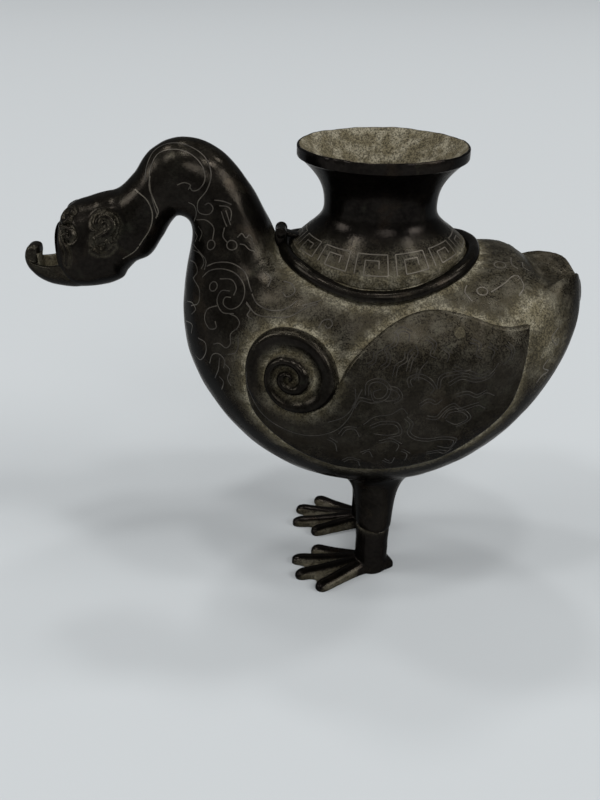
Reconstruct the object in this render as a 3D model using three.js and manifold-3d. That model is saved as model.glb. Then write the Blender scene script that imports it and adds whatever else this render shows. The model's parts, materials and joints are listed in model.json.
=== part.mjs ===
// A duck-shaped water dropper: a hollow bronze duck with a trumpet mouth hinged on its back.
// Millimetres, +Z up. The duck faces -X, its left side is -Y, and it stands on Z = 0.
import * as THREE from "three";
import { mergeVertices } from "three/addons/utils/BufferGeometryUtils.js";
import Module from "manifold-3d";

// Body casting
const BODY_LENGTH = 126.5; // breast to tail tip
const BODY_HEIGHT = 81; // belly to the top of the back
const BODY_WIDTH = 81;
const BODY_WALL = 3;
const LEG_HEIGHT = 36; // floor to belly
const BACK_ROUNDNESS = 2.45; // of the body's upper half: 2 is an ellipse, more is squarer
const BELLY_ROUNDNESS = 2.1; // of every lower half

// Neck and head castings
const NECK_REACH = 48.5; // back of the neck's root to the head's seam
const NECK_RISE = 32.3; // root of the neck to the top of the arch
const NECK_WIDTH = 21.4;
const NECK_WALL = 2.4;
const HEAD_LENGTH = 19.5;
const HEAD_HEIGHT = 31;
const HEAD_WIDTH = 25.5;
const HEAD_WALL = 2.6;
const SPIGOT_LENGTH = 2; // how far one casting reaches into the next
const SPIGOT_WALL = 1.6;
const SPIGOT_LAP = 0.01; // of the spigot's bore into the casting's own bore
const SPOUT_HOLE_RADIUS = 2.4;

// Bill: an open trough with an upturned lip
const BILL_LENGTH = 11.5;
const BILL_WIDTH = 11;
const BILL_WALL = 1.8;
const BILL_DEPTH = 5;
const BILL_EDGE = 1; // roundness of the trough's upper edges
const BILL_TAPER = 0.22; // share of the width lost at the lip
const BILL_ROOT = 0.5; // share of the length that starts inside the head
const BILL_RISE = 3.6;
const LIP_RISE = 3.2;
const LIP_THICKNESS = 3;

// Trumpet mouth
const RIM_RADIUS = 25.8;
const RIM_BAND = 3.4;
const RIM_STEP = 0.6; // how far the band stands out of the funnel
const TRUMPET_HEIGHT = 29.5; // top of the back to the rim
const THROAT_RADIUS = 17.3;
const THROAT_HEIGHT = 11.5; // top of the back to the throat
const FOOT_RADIUS = 26.8;
const FOOT_EDGE = 1.6; // thickness of the foot's edge over the back
const TRUMPET_WALL = 2;
const FILLING_LEDGE = 2.8; // of the back inside the foot, round the filling hole
const RIM_EASE = 5.2; // how the funnel's curve leaves the rim, downwards
const FUNNEL_EASE = 2.2; // and outside the throat
const THROAT_EASE_UP = 6; // straight pull of the curve above the throat
const THROAT_EASE_DOWN = 5; // and below it
const FOOT_EASE = 5.5; // how the curve comes to the foot, inwards
const FOOT_LIFT = 4; // and above it
const SADDLE_BEND = 1.5; // how late the foot bends down to the back: 1 is evenly

// Collar bead round the trumpet's foot
const COLLAR_BEAD = 4.2;
const COLLAR_GAP = 0.5; // between the foot and the bead
const COLLAR_PROUD = 0.7; // the bead's centre above the back
const COLLAR_LAP = 0.26; // how far the bead's front lies ahead of the neck's root

// Legs
const LEG_X = 64.2; // breast to the shank's axis
const LEG_SPREAD = 26; // between the shanks' axes
const THIGH_RADIUS = 7.3;
const SEAM_HEIGHT = 18.5; // floor to the seam between thigh and leg
const SEAM_RADIUS = 5.3;
const SHANK_RADIUS = 5.4;
const TENON_RADIUS = 3;
const TENON_LENGTH = 8;
const FOOT_THICKNESS = 3.2;
const THIGH_FLARE = 4;
const THIGH_EASE = 1; // straight length over the seam
const THIGH_BEND = 2; // belly down to where the thigh's flare begins
const HEEL_LENGTH = 8;
const SOLE_BEVEL = 1;
const TOE_RADIUS = 2;
const TOE_AXIS = 1.2; // floor to the middle of a toe's tip
const TOE_FORM = [
  [0, 1.25],
  [0.6, 1],
  [0.92, 1],
  [1, 0.55],
]; // share of a toe's length, and of its radius there
const WEB_THICKNESS = 1.6;
const WEB_SCALLOP = 7; // how far the web's edge is drawn back between the toes
const TOES = [
  [20.6, 8.7],
  [27.6, 1.7],
  [26.1, -7.6],
  [18.3, -14.6],
]; // tip of each toe ahead of the shank and towards the other foot

// Hinge of the trumpet, over the collar's front
const PIVOT_BACK = 1.1; // collar's front edge to the pin's axis
const PIVOT_RISE = 5.2; // back to the pin's axis
const PIN_RADIUS = 0.8;
const PIN_HEAD = 0.5;
const PIN_HEAD_OVER = 0.4; // how far a riveted end laps over its hole
const LUG_RADIUS = 1.9;
const LUG_THICKNESS = 1.5;
const LUG_GRIP = 1.4; // how far a lug reaches down over the collar
const LEAF_WIDTH = 4;
const LEAF_THICKNESS = 1.4;
const LEAF_LENGTH = 7;
const LEAF_FALL = 2; // from the pin to the trumpet's foot

// Wings: a leaf-shaped plate that runs into a coil at its shoulder. Places are shares of the body's length,
// and of the height from the belly to a little over the collar's sides.
const WING_PROUD = 1.5;
const WING_RISE = 11.45; // collar's side up to the height that the shares are of
const WING_TOP = [
  [0.829, 0.79],
  [0.75, 0.805],
  [0.685, 0.84],
  [0.607, 0.864],
  [0.519, 0.835],
  [0.456, 0.776],
  [0.397, 0.67],
  [0.35, 0.53],
]; // tip to shoulder
const WING_BELOW = [
  [0.27, 0.5],
  [0.185, 0.49],
  [0.19, 0.41],
  [0.272, 0.31],
  [0.38, 0.235],
  [0.515, 0.243],
  [0.634, 0.278],
  [0.722, 0.37],
  [0.797, 0.488],
]; // shoulder back to the tip
const SCROLL_CENTRE = [0.271, 0.63];
const SCROLL_PROUD = 2.8;
const SCROLL_RADIUS = 14;
const SCROLL_START = -112; // degrees from +X to where the coil leaves the plate
const SCROLL_TURNS = 2.1;
const SCROLL_BAND = 4; // width of the coil's band at its outer end
const SCROLL_BAND_END = 1.8;
const PLUG_CENTRE = [0.656, 0.802];
const PLUG_RADIUS = 1.7;
const PLUG_PROUD = 0.4;

// Silver wire, and the lines that it follows: shares of the neck's reach and rise, of the wing as above, or
// of the body's size
const WIRE_WIDTH = 0.8;
const WIRE_HEIGHT = 0.4;
const NECK_SCROLL = [
  [0.725, 0.372],
  [0.76, 0.706],
  [0.725, 0.864],
  [0.622, 0.923],
  [0.513, 0.885],
  [0.451, 0.758],
  [0.463, 0.641],
  [0.513, 0.579],
  [0.535, 0.632],
];
const BREAST_SCROLL = [
  [0.48, -0.198],
  [0.385, -0.096],
  [0.267, -0.108],
  [0.205, -0.2],
  [0.217, -0.31],
  [0.29, -0.39],
  [0.302, -0.335],
];
const NAPE_BAND = [
  [0.875, 0.575],
  [0.79, 0.375],
  [0.825, 0.149],
];
const WING_SCROLL = [
  [0.475, 0.63],
  [0.495, 0.66],
  [0.47, 0.7],
  [0.435, 0.64],
  [0.47, 0.55],
  [0.57, 0.56],
  [0.66, 0.58],
  [0.7, 0.5],
  [0.665, 0.43],
  [0.63, 0.47],
  [0.655, 0.5],
];
const TAIL_SCROLL = [
  [0.93, 0.62],
  [0.915, 0.66],
  [0.94, 0.7],
  [0.955, 0.6],
  [0.905, 0.55],
  [0.87, 0.65],
];
const FRET_UNITS = 18;
const FRET_TOP = 0.5; // share of the way down from the throat to the foot
const FRET_BOTTOM = 0.78;

// Fits
const SEAT = 0.3; // gap between pieces that touch
const FIT = 0.3; // gap between a spigot, tenon or pin and its hole
const PAST = 1; // how far a cut runs past what it cuts

// Fineness of the round shapes
const BODY_SIDES = 28;
const NECK_SIDES = 20;
const STATION_STEP = 0.5;
const TRUMPET_SIDES = 32;
const OUTER_STEPS = 5;
const INNER_STEPS = 4;
const COLLAR_STEPS = 36;
const COLLAR_SIDES = 8;
const LEG_SIDES = 16;
const TOE_SIDES = 8;
const BILL_SIDES = 20;
const SCROLL_STEPS = 36;
const WING_STEPS = 17;
const WIRE_STEPS = 3; // to each point of a wire's line

const BODY_FRONT = 0;
const BACK_TOP = LEG_HEIGHT + BODY_HEIGHT;
const rimTop = BACK_TOP + TRUMPET_HEIGHT;
const throat = BACK_TOP + THROAT_HEIGHT;
const footTop = BACK_TOP + FOOT_EDGE;

const wasm = await Module();
wasm.setup();

// Solids and geometry

function solid(geometry) {
  const bare = geometry.index ? geometry.toNonIndexed() : geometry.clone();
  bare.deleteAttribute("normal");
  bare.deleteAttribute("uv");
  const merged = mergeVertices(bare, 1e-4);
  const triVerts = new Uint32Array(merged.index.array);
  return new wasm.Manifold(
    new wasm.Mesh({ numProp: 3, vertProperties: merged.attributes.position.array, triVerts }),
  );
}

function geometryOf(made) {
  const { vertProperties, triVerts } = made.getMesh();
  const geometry = new THREE.BufferGeometry();
  geometry.setAttribute("position", new THREE.BufferAttribute(vertProperties, 3));
  geometry.setIndex(new THREE.BufferAttribute(triVerts, 1));
  geometry.computeVertexNormals();
  return geometry;
}

// A closed skin over rings of points: capped at both ends, or joined end to end.
function skin(rings, joined = false) {
  const sides = rings[0].length;
  const points = rings.flat();
  const faces = [];
  const steps = joined ? rings.length : rings.length - 1;
  for (let i = 0; i < steps; i++) {
    const a = i * sides;
    const b = ((i + 1) % rings.length) * sides;
    for (let j = 0; j < sides; j++) {
      const k = (j + 1) % sides;
      faces.push(a + j, a + k, b + k, a + j, b + k, b + j);
    }
  }
  if (!joined) {
    [0, rings.length - 1].forEach((i) => {
      const middle = points.length;
      const centre = new THREE.Vector3();
      rings[i].forEach((p) => centre.addScaledVector(p, 1 / sides));
      points.push(centre);
      for (let j = 0; j < sides; j++) {
        const edge = [i * sides + j, i * sides + ((j + 1) % sides)];
        faces.push(middle, ...(i === 0 ? edge.reverse() : edge));
      }
    });
  }
  let volume = 0;
  for (let f = 0; f < faces.length; f += 3) {
    const [a, b, c] = faces.slice(f, f + 3).map((i) => points[i]);
    volume += a.dot(b.clone().cross(c));
  }
  if (volume < 0) faces.reverse();
  const geometry = new THREE.BufferGeometry().setFromPoints(points);
  geometry.setIndex(faces);
  return geometry;
}

// The castings' outline: stations from the tail to the face, each with a point on the back line, a point on
// the belly line and a half width. A section is an oval across the line between the two points.

const bodyPoint = ([along, up]) => [BODY_FRONT + along * BODY_LENGTH, LEG_HEIGHT + up * BODY_HEIGHT];
const bodyStations = [
  { back: [0.993, 0.85], belly: [1.0, 0.75], half: 0.062 },
  { back: [0.969, 0.9], belly: [0.986, 0.625], half: 0.148 },
  { back: [0.918, 0.935], belly: [0.94, 0.455], half: 0.247 },
  { back: [0.855, 0.915], belly: [0.862, 0.29], half: 0.34 },
  { back: [0.77, 0.955], belly: [0.757, 0.14], half: 0.42 },
  { back: [0.66, 0.985], belly: [0.635, 0.04], half: 0.475 },
  { back: [0.527, 1.0], belly: [0.505, 0.0], half: 0.5 },
  { back: [0.402, 0.99], belly: [0.371, 0.018], half: 0.488 },
  { back: [0.309, 0.975], belly: [0.234, 0.1], half: 0.45 },
  { back: [0.27, 0.967], belly: [0.125, 0.236], half: 0.389 },
  { back: [0.252, 0.968], belly: [0.049, 0.398], half: 0.333 },
  { back: [0.24, 0.98], belly: [0.0095, 0.545], half: 0.284 },
].map(({ back, belly, half }) => ({
  back: bodyPoint(back),
  belly: bodyPoint(belly),
  half: half * BODY_WIDTH,
  roundness: BACK_ROUNDNESS,
}));
const BODY_SEAM = bodyStations.length - 1;
const CHAMBER_END = 2; // the tail is solid behind this station
const neckRoot = bodyStations[BODY_SEAM].back;

const neckPoint = ([along, up]) => [neckRoot[0] - along * NECK_REACH, neckRoot[1] + up * NECK_RISE];
const neckStations = [
  { back: [0.022, 0.105], belly: [0.63, -0.77], half: 0.93 },
  { back: [0.08, 0.3], belly: [0.615, -0.38], half: 0.75 },
  { back: [0.175, 0.56], belly: [0.55, 0.16], half: 0.57 },
  { back: [0.36, 0.885], belly: [0.578, 0.25], half: 0.51 },
  { back: [0.6, 1.0], belly: [0.633, 0.275], half: 0.5 },
  { back: [0.79, 0.88], belly: [0.68, 0.21], half: 0.495 },
  { back: [0.905, 0.66], belly: [0.74, 0.065], half: 0.495 },
  { back: [1.0, 0.525], belly: [0.825, -0.11], half: 0.51 },
].map(({ back, belly, half }) => ({
  back: neckPoint(back),
  belly: neckPoint(belly),
  half: half * NECK_WIDTH,
  roundness: 2,
}));
const HEAD_SEAM = BODY_SEAM + neckStations.length;
const headRoot = neckStations[neckStations.length - 1].back;

const headPoint = ([along, up]) => [headRoot[0] - along * HEAD_LENGTH, headRoot[1] + up * HEAD_HEIGHT];
const headStations = [
  { back: [0.23, -0.06], belly: [-0.2, -0.74], half: 0.46 },
  { back: [0.49, -0.12], belly: [0.06, -0.89], half: 0.5 },
  { back: [0.74, -0.18], belly: [0.38, -0.97], half: 0.5 },
  { back: [0.92, -0.28], belly: [0.7, -1.0], half: 0.47 },
  { back: [1.0, -0.42], belly: [0.92, -0.95], half: 0.38 },
].map(({ back, belly, half }) => ({
  back: headPoint(back),
  belly: headPoint(belly),
  half: half * HEAD_WIDTH,
  roundness: 2,
}));

const stations = [...bodyStations, ...neckStations, ...headStations];
const FACE = stations.length - 1;
const backLine = new THREE.CatmullRomCurve3(
  stations.map(({ back, half }) => new THREE.Vector3(back[0], half, back[1])),
);
const bellyLine = new THREE.CatmullRomCurve3(
  stations.map(({ belly, roundness }) => new THREE.Vector3(belly[0], roundness, belly[1])),
);

// One section of the castings at a station, drawn in by an inset and moved along its own normal.
function section(station, sides, inset = 0, shift = 0) {
  const back = backLine.getPoint(station / FACE);
  const belly = bellyLine.getPoint(station / FACE);
  const half = back.y - inset;
  const roundness = [belly.y, BELLY_ROUNDNESS];
  back.y = 0;
  belly.y = 0;
  const centre = back.clone().add(belly).multiplyScalar(0.5);
  const upward = back.clone().sub(belly).multiplyScalar(0.5);
  upward.setLength(upward.length() - inset);
  const normal = new THREE.Vector3(0, 1, 0).cross(upward).normalize();
  centre.addScaledVector(normal, -shift);
  const ring = [];
  for (let j = 0; j < sides; j++) {
    const angle = ((j + 0.5) / sides) * 2 * Math.PI;
    const c = Math.cos(angle);
    const s = Math.sin(angle);
    const power = 2 / roundness[c > 0 ? 0 : 1];
    const up = Math.sign(c) * Math.abs(c) ** power;
    const out = Math.sign(s) * Math.abs(s) ** power;
    ring.push(centre.clone().addScaledVector(upward, up).add(new THREE.Vector3(0, half * out, 0)));
  }
  return ring;
}

function spaced(from, to, step) {
  const count = Math.max(1, Math.round((to - from) / step));
  return Array.from({ length: count + 1 }, (_, i) => from + ((to - from) * i) / count);
}

// A casting's outer or inner skin between two stations. A lead moves its first or last section along.
function casting(from, to, sides, inset, leadIn = 0, leadOut = 0, step = STATION_STEP) {
  const rings = spaced(from, to, step).map((place) => {
    const lead = (place === from ? leadIn : 0) + (place === to ? leadOut : 0);
    return section(place, sides, typeof inset === "function" ? inset(place) : inset, lead);
  });
  return solid(skin(rings));
}

// A short tapering plug with the outline of one section, along the casting's centre line.
function plug(station, inset, from, to) {
  const middle = (at) => backLine.getPoint(at / FACE).add(bellyLine.getPoint(at / FACE)).setY(0);
  const along = middle(station + 0.1).sub(middle(station - 0.1)).normalize();
  const moved = (extra, by) =>
    section(station, NECK_SIDES, inset + extra).map((p) => p.addScaledVector(along, by));
  return solid(skin([moved(0, from), moved(2 * FIT, to)]));
}

// Pieces

const group = new THREE.Group();

const BRONZE = { color: 0x2a2521, roughness: 0.42, metalness: 0.85 };
const SILVER = { color: 0x8e867a, roughness: 0.35, metalness: 0.95 };

function place(name, made, finish) {
  const mesh = new THREE.Mesh(geometryOf(made), new THREE.MeshStandardMaterial(finish));
  mesh.name = name;
  group.add(mesh);
  return mesh;
}

// An upright round bar between two heights.
function upright(radius, x, y, from, to, sides) {
  const shape = new THREE.CylinderGeometry(radius, radius, to - from, sides);
  shape.rotateX(Math.PI / 2);
  shape.translate(x, y, (from + to) / 2);
  return solid(shape);
}

const collarRadius = FOOT_RADIUS + COLLAR_GAP + COLLAR_BEAD / 2;
const collarFront = neckRoot[0] - COLLAR_LAP;
const mouthX = collarFront + COLLAR_BEAD / 2 + collarRadius;
const legX = BODY_FRONT + LEG_X;
const bodyOuter = casting(0, BODY_SEAM, BODY_SIDES, 0);
const bodySeat = casting(0, BODY_SEAM, BODY_SIDES, -SEAT);
const neckSeat = casting(BODY_SEAM, HEAD_SEAM, NECK_SIDES, -SEAT);
const headSeat = casting(HEAD_SEAM, FACE, NECK_SIDES, -SEAT, 0, SEAT);

// Height of the body's back over a point of the plan.
const bodyMesh = new THREE.Mesh(geometryOf(bodyOuter));
function backHeight(x, y) {
  const ray = new THREE.Raycaster(new THREE.Vector3(x, y, 2 * BACK_TOP), new THREE.Vector3(0, 0, -1));
  return ray.intersectObject(bodyMesh)[0].point.z;
}

// Body shell: the hollow body with its thighs, leg sockets and filling hole
function thigh(side) {
  const top = LEG_HEIGHT + BODY_WALL + THIGH_FLARE;
  const profile = [
    new THREE.Vector2(0, SEAM_HEIGHT),
    new THREE.Vector2(SEAM_RADIUS, SEAM_HEIGHT),
    ...new THREE.QuadraticBezierCurve(
      new THREE.Vector2(SEAM_RADIUS, SEAM_HEIGHT + THIGH_EASE),
      new THREE.Vector2(THIGH_RADIUS, LEG_HEIGHT - THIGH_BEND),
      new THREE.Vector2(THIGH_RADIUS + THIGH_FLARE, top),
    ).getPoints(INNER_STEPS),
    new THREE.Vector2(0, top),
  ];
  const shape = new THREE.LatheGeometry(profile, LEG_SIDES);
  shape.rotateX(Math.PI / 2);
  shape.translate(legX, side * LEG_SPREAD / 2, 0);
  return solid(shape);
}

function bodyShell() {
  let made = bodyOuter;
  [-1, 1].forEach((side) => {
    made = made.add(thigh(side));
  });
  made = made.subtract(casting(CHAMBER_END, BODY_SEAM, NECK_SIDES, BODY_WALL, 0, PAST, 2 * STATION_STEP));
  const hole = FOOT_RADIUS - TRUMPET_WALL - FILLING_LEDGE;
  made = made.subtract(upright(hole, mouthX, 0, LEG_HEIGHT + BODY_HEIGHT / 2, rimTop, TRUMPET_SIDES));
  [-1, 1].forEach((side) => {
    const socketTop = SEAM_HEIGHT + TENON_LENGTH + FIT;
    const y = side * LEG_SPREAD / 2;
    made = made.subtract(upright(TENON_RADIUS + FIT, legX, y, SEAM_HEIGHT - PAST, socketTop, LEG_SIDES));
  });
  return made;
}

// Legs: a shank with a tenon above and a webbed foot of four toes below
function leg(side) {
  const y = side * LEG_SPREAD / 2;
  const shankTop = SEAM_HEIGHT - SEAT;
  const profile = [
    new THREE.Vector2(0, 0),
    new THREE.Vector2(SHANK_RADIUS - SOLE_BEVEL, 0),
    new THREE.Vector2(SHANK_RADIUS, FOOT_THICKNESS),
    new THREE.Vector2(SEAM_RADIUS, shankTop),
    new THREE.Vector2(TENON_RADIUS, shankTop),
    new THREE.Vector2(TENON_RADIUS, SEAM_HEIGHT + TENON_LENGTH),
    new THREE.Vector2(0, SEAM_HEIGHT + TENON_LENGTH),
  ];
  const shank = new THREE.LatheGeometry(profile, LEG_SIDES);
  shank.rotateX(Math.PI / 2);
  shank.translate(legX, y, 0);
  let made = solid(shank);
  const tips = TOES.map(([ahead, aside]) => new THREE.Vector2(legX - ahead, y - side * aside));
  const heel = new THREE.Vector2(legX + HEEL_LENGTH, y);
  const web = new THREE.Shape();
  web.moveTo(heel.x, heel.y);
  tips.forEach((tip, i) => {
    if (i > 0) {
      const between = tips[i - 1].clone().add(tip).multiplyScalar(0.5);
      between.x += WEB_SCALLOP;
      web.lineTo(between.x, between.y);
    }
    web.lineTo(tip.x + TOE_RADIUS, tip.y);
  });
  web.closePath();
  const plate = new THREE.ExtrudeGeometry(web, { depth: WEB_THICKNESS, bevelEnabled: false });
  made = made.add(solid(plate));
  [...tips, heel].forEach((tip) => {
    const root = new THREE.Vector3(legX, y, FOOT_THICKNESS);
    const end = new THREE.Vector3(tip.x, tip.y, TOE_AXIS);
    made = made.add(toe(root, end));
  });
  const underFloor = new THREE.BoxGeometry(BODY_LENGTH, BODY_LENGTH, LEG_HEIGHT);
  underFloor.translate(legX, y, -LEG_HEIGHT / 2);
  return made.subtract(solid(underFloor));
}

// A toe: a tapering rod with a rounded tip.
function toe(root, end) {
  const line = end.clone().sub(root);
  const across = new THREE.Vector3(-line.y, line.x, 0).normalize();
  const up = new THREE.Vector3(0, 0, 1);
  const rings = TOE_FORM.map(([share, size]) => {
    const centre = root.clone().addScaledVector(line, share);
    return Array.from({ length: TOE_SIDES }, (_, j) => {
      const angle = (j / TOE_SIDES) * 2 * Math.PI;
      return centre
        .clone()
        .addScaledVector(across, Math.cos(angle) * size * TOE_RADIUS)
        .addScaledVector(up, Math.sin(angle) * size * TOE_RADIUS);
    });
  });
  return solid(skin(rings));
}

// Neck and head: bored castings, each with a spigot in the one before it
function bored(from, to, boreEnd, wall, seamInset) {
  const outer = casting(from, to, NECK_SIDES, 0, SEAT).add(plug(from, seamInset, 2 * SEAT, -SPIGOT_LENGTH));
  const boreAtSeam = seamInset + SPIGOT_WALL;
  const inset = (at) => wall + (boreAtSeam - wall) * Math.max(0, 1 - at + from);
  const bore = casting(from, boreEnd, NECK_SIDES, inset, 0, boreEnd === to ? PAST : 0);
  const spigotBore = plug(from, boreAtSeam, SPIGOT_LAP, -SPIGOT_LENGTH - PAST);
  return outer.subtract(bore).subtract(spigotBore);
}

// The head's bore ends behind the face, with a hole on to the floor of the bill.
function head() {
  const [faceX, chinZ] = stations[FACE].belly;
  const length = 2 * HEAD_LENGTH;
  const hole = new THREE.CylinderGeometry(SPOUT_HOLE_RADIUS, SPOUT_HOLE_RADIUS, length, LEG_SIDES);
  hole.rotateZ(Math.PI / 2);
  hole.translate(faceX + HEAD_WALL * 2 - length / 2, 0, chinZ + BILL_WALL + SEAT + SPOUT_HOLE_RADIUS);
  return bored(HEAD_SEAM, FACE, FACE - 1, HEAD_WALL, NECK_WALL + FIT).subtract(solid(hole));
}

// Trumpet mouth: a turned funnel whose flaring foot is bent down to the saddle of the back
const funnelCurve = new THREE.CubicBezierCurve(
  new THREE.Vector2(RIM_RADIUS - RIM_STEP, rimTop - RIM_BAND),
  new THREE.Vector2(THROAT_RADIUS + FUNNEL_EASE, rimTop - RIM_BAND - RIM_EASE),
  new THREE.Vector2(THROAT_RADIUS, throat + THROAT_EASE_UP),
  new THREE.Vector2(THROAT_RADIUS, throat),
);
const footCurve = new THREE.CubicBezierCurve(
  new THREE.Vector2(THROAT_RADIUS, throat),
  new THREE.Vector2(THROAT_RADIUS, throat - THROAT_EASE_DOWN),
  new THREE.Vector2(FOOT_RADIUS - FOOT_EASE, footTop + FOOT_LIFT),
  new THREE.Vector2(FOOT_RADIUS, footTop),
);

function trumpetProfile(inset, steps) {
  return [
    new THREE.Vector2(RIM_RADIUS, rimTop),
    new THREE.Vector2(RIM_RADIUS, rimTop - RIM_BAND),
    ...funnelCurve.getPoints(steps),
    ...footCurve.getPoints(steps).slice(1),
    new THREE.Vector2(FOOT_RADIUS, BACK_TOP),
  ].map((p) => new THREE.Vector2(p.x - inset, p.y));
}

// Bends a turned shape: what lies below the throat goes down to the back, the more so the nearer the foot.
function saddle(shape) {
  const at = shape.getAttribute("position");
  for (let i = 0; i < at.count; i++) {
    const share = THREE.MathUtils.clamp((throat - at.getZ(i)) / THROAT_HEIGHT, 0, 1);
    const drop = BACK_TOP - backHeight(mouthX + at.getX(i), at.getY(i)) - SEAT;
    at.setXYZ(i, mouthX + at.getX(i), at.getY(i), at.getZ(i) - share ** SADDLE_BEND * drop);
  }
  return shape;
}

// A turned solid from a closed profile, bent to the back.
function turnedOnBack(profile) {
  const shape = new THREE.LatheGeometry([...profile, profile[0].clone()].reverse(), TRUMPET_SIDES);
  shape.rotateX(Math.PI / 2);
  return solid(saddle(shape));
}

function trumpet() {
  const outer = trumpetProfile(0, OUTER_STEPS);
  const inner = trumpetProfile(TRUMPET_WALL, INNER_STEPS).filter((_, i) => i !== 1);
  return turnedOnBack([...outer, ...inner.reverse()]).subtract(bodySeat);
}

// The room that the trumpet takes up, filled to its axis, with a seat's gap round it.
function trumpetRoom() {
  const outer = trumpetProfile(-SEAT, OUTER_STEPS);
  const axis = [outer[outer.length - 1], outer[0]].map((p) => new THREE.Vector2(0, p.y));
  return turnedOnBack([...outer, ...axis]);
}

// Fret: a battlemented line of wire round the trumpet's foot
function fret() {
  const reach = footCurve.getLength();
  const middle = footCurve.getPointAt((FRET_TOP + FRET_BOTTOM) / 2).x;
  const half = WIRE_WIDTH / 2;
  const outline = [[-half, SEAT], [-half, SEAT + WIRE_HEIGHT], [half, SEAT + WIRE_HEIGHT], [half, SEAT]];
  const rings = [];
  for (let i = 0; i < 2 * FRET_UNITS; i++) {
    const rises = i % 2 === 0;
    const angle = (i * Math.PI) / FRET_UNITS;
    (rises ? [FRET_BOTTOM, FRET_TOP] : [FRET_TOP, FRET_BOTTOM]).forEach((down) => {
      rings.push(
        outline.map(([aside, lift]) => {
          const share = down + aside / reach;
          const point = footCurve.getPointAt(share);
          const slope = footCurve.getTangentAt(share);
          const turn = angle + ((rises ? 1 : -1) * aside) / middle;
          const radius = point.x - slope.y * lift;
          const height = point.y + slope.x * lift;
          return new THREE.Vector3(radius * Math.cos(turn), radius * Math.sin(turn), height);
        }),
      );
    });
  }
  return solid(saddle(skin(rings, true)));
}

// Collar: a bead that follows the back round the trumpet's foot
function collarTube(grow) {
  const bead = COLLAR_BEAD / 2 + grow;
  const rings = Array.from({ length: COLLAR_STEPS }, (_, i) => {
    const angle = (i / COLLAR_STEPS) * 2 * Math.PI;
    const outward = new THREE.Vector3(Math.cos(angle), Math.sin(angle), 0);
    const x = mouthX + collarRadius * outward.x;
    const y = collarRadius * outward.y;
    const centre = new THREE.Vector3(x, y, backHeight(x, y) + COLLAR_PROUD);
    return Array.from({ length: COLLAR_SIDES }, (_, j) => {
      const turn = (j / COLLAR_SIDES) * 2 * Math.PI;
      const rise = new THREE.Vector3(0, 0, bead * Math.sin(turn));
      return centre.clone().addScaledVector(outward, bead * Math.cos(turn)).add(rise);
    });
  });
  return solid(skin(rings, true));
}

// Bill: a trough whose underside runs on from the chin, with an upturned lip
function bill() {
  const [faceX, chinZ] = stations[FACE].belly;
  const rings = (half, floor, top) =>
    spaced(-BILL_ROOT, 1, BILL_ROOT / 2).map((share) => {
      const x = faceX - share * BILL_LENGTH;
      const bend = Math.max(share, 0) ** 2;
      const rise = BILL_RISE * bend;
      const taper = half * (1 - BILL_TAPER * bend);
      return Array.from({ length: BILL_SIDES }, (_, j) => {
        const angle = (j / BILL_SIDES) * 2 * Math.PI;
        const y = taper * Math.cos(angle);
        const depth = Math.sin(angle) < 0 ? BILL_DEPTH - floor : top;
        return new THREE.Vector3(x, y, chinZ + BILL_DEPTH + rise + depth * Math.sin(angle));
      });
    });
  const hull = solid(skin(rings(BILL_WIDTH / 2, 0, BILL_EDGE)));
  const trough = solid(skin(rings(BILL_WIDTH / 2 - BILL_WALL, BILL_WALL, 2 * BILL_DEPTH)));
  const lipX = faceX - BILL_LENGTH - LIP_THICKNESS / 2;
  const lipShape = new THREE.Shape();
  const lipHalf = BILL_WIDTH / 2 - BILL_WALL / 2;
  const lipTop = chinZ + BILL_DEPTH + BILL_RISE + LIP_RISE;
  const lipFoot = lipTop - LIP_RISE - BILL_DEPTH / 2;
  lipShape.moveTo(-lipHalf, lipFoot);
  lipShape.lineTo(lipHalf, lipFoot);
  lipShape.lineTo(lipHalf, lipTop - lipHalf / 2);
  lipShape.quadraticCurveTo(lipHalf, lipTop, 0, lipTop);
  lipShape.quadraticCurveTo(-lipHalf, lipTop, -lipHalf, lipTop - lipHalf / 2);
  const lip = new THREE.ExtrudeGeometry(lipShape, {
    depth: LIP_THICKNESS,
    bevelEnabled: false,
    curveSegments: OUTER_STEPS,
  });
  lip.applyMatrix4(new THREE.Matrix4().makeBasis(
    new THREE.Vector3(0, 1, 0),
    new THREE.Vector3(0, 0, 1),
    new THREE.Vector3(1, 0, 0),
  ));
  lip.translate(lipX, 0, 0);
  return hull.subtract(trough).add(solid(lip)).subtract(headSeat);
}

// Hinge: two lugs on the collar, a pin with riveted ends, and a leaf that is fixed to the trumpet's foot
const pivotX = collarFront + PIVOT_BACK;
const pivotZ = backHeight(mouthX - collarRadius, 0) + PIVOT_RISE;

// A solid between two values of y with an outline drawn in x and z.
function slab(outline, fromY, toY) {
  const shape = new THREE.ExtrudeGeometry(outline, {
    depth: toY - fromY,
    bevelEnabled: false,
    curveSegments: OUTER_STEPS,
  });
  shape.rotateX(Math.PI / 2);
  shape.translate(0, toY, 0);
  return solid(shape);
}

// A round bar on the hinge's axis.
function crossBar(radius, fromY, toY) {
  const shape = new THREE.CylinderGeometry(radius, radius, toY - fromY, LEG_SIDES);
  shape.translate(pivotX, (fromY + toY) / 2, pivotZ);
  return solid(shape);
}

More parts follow.
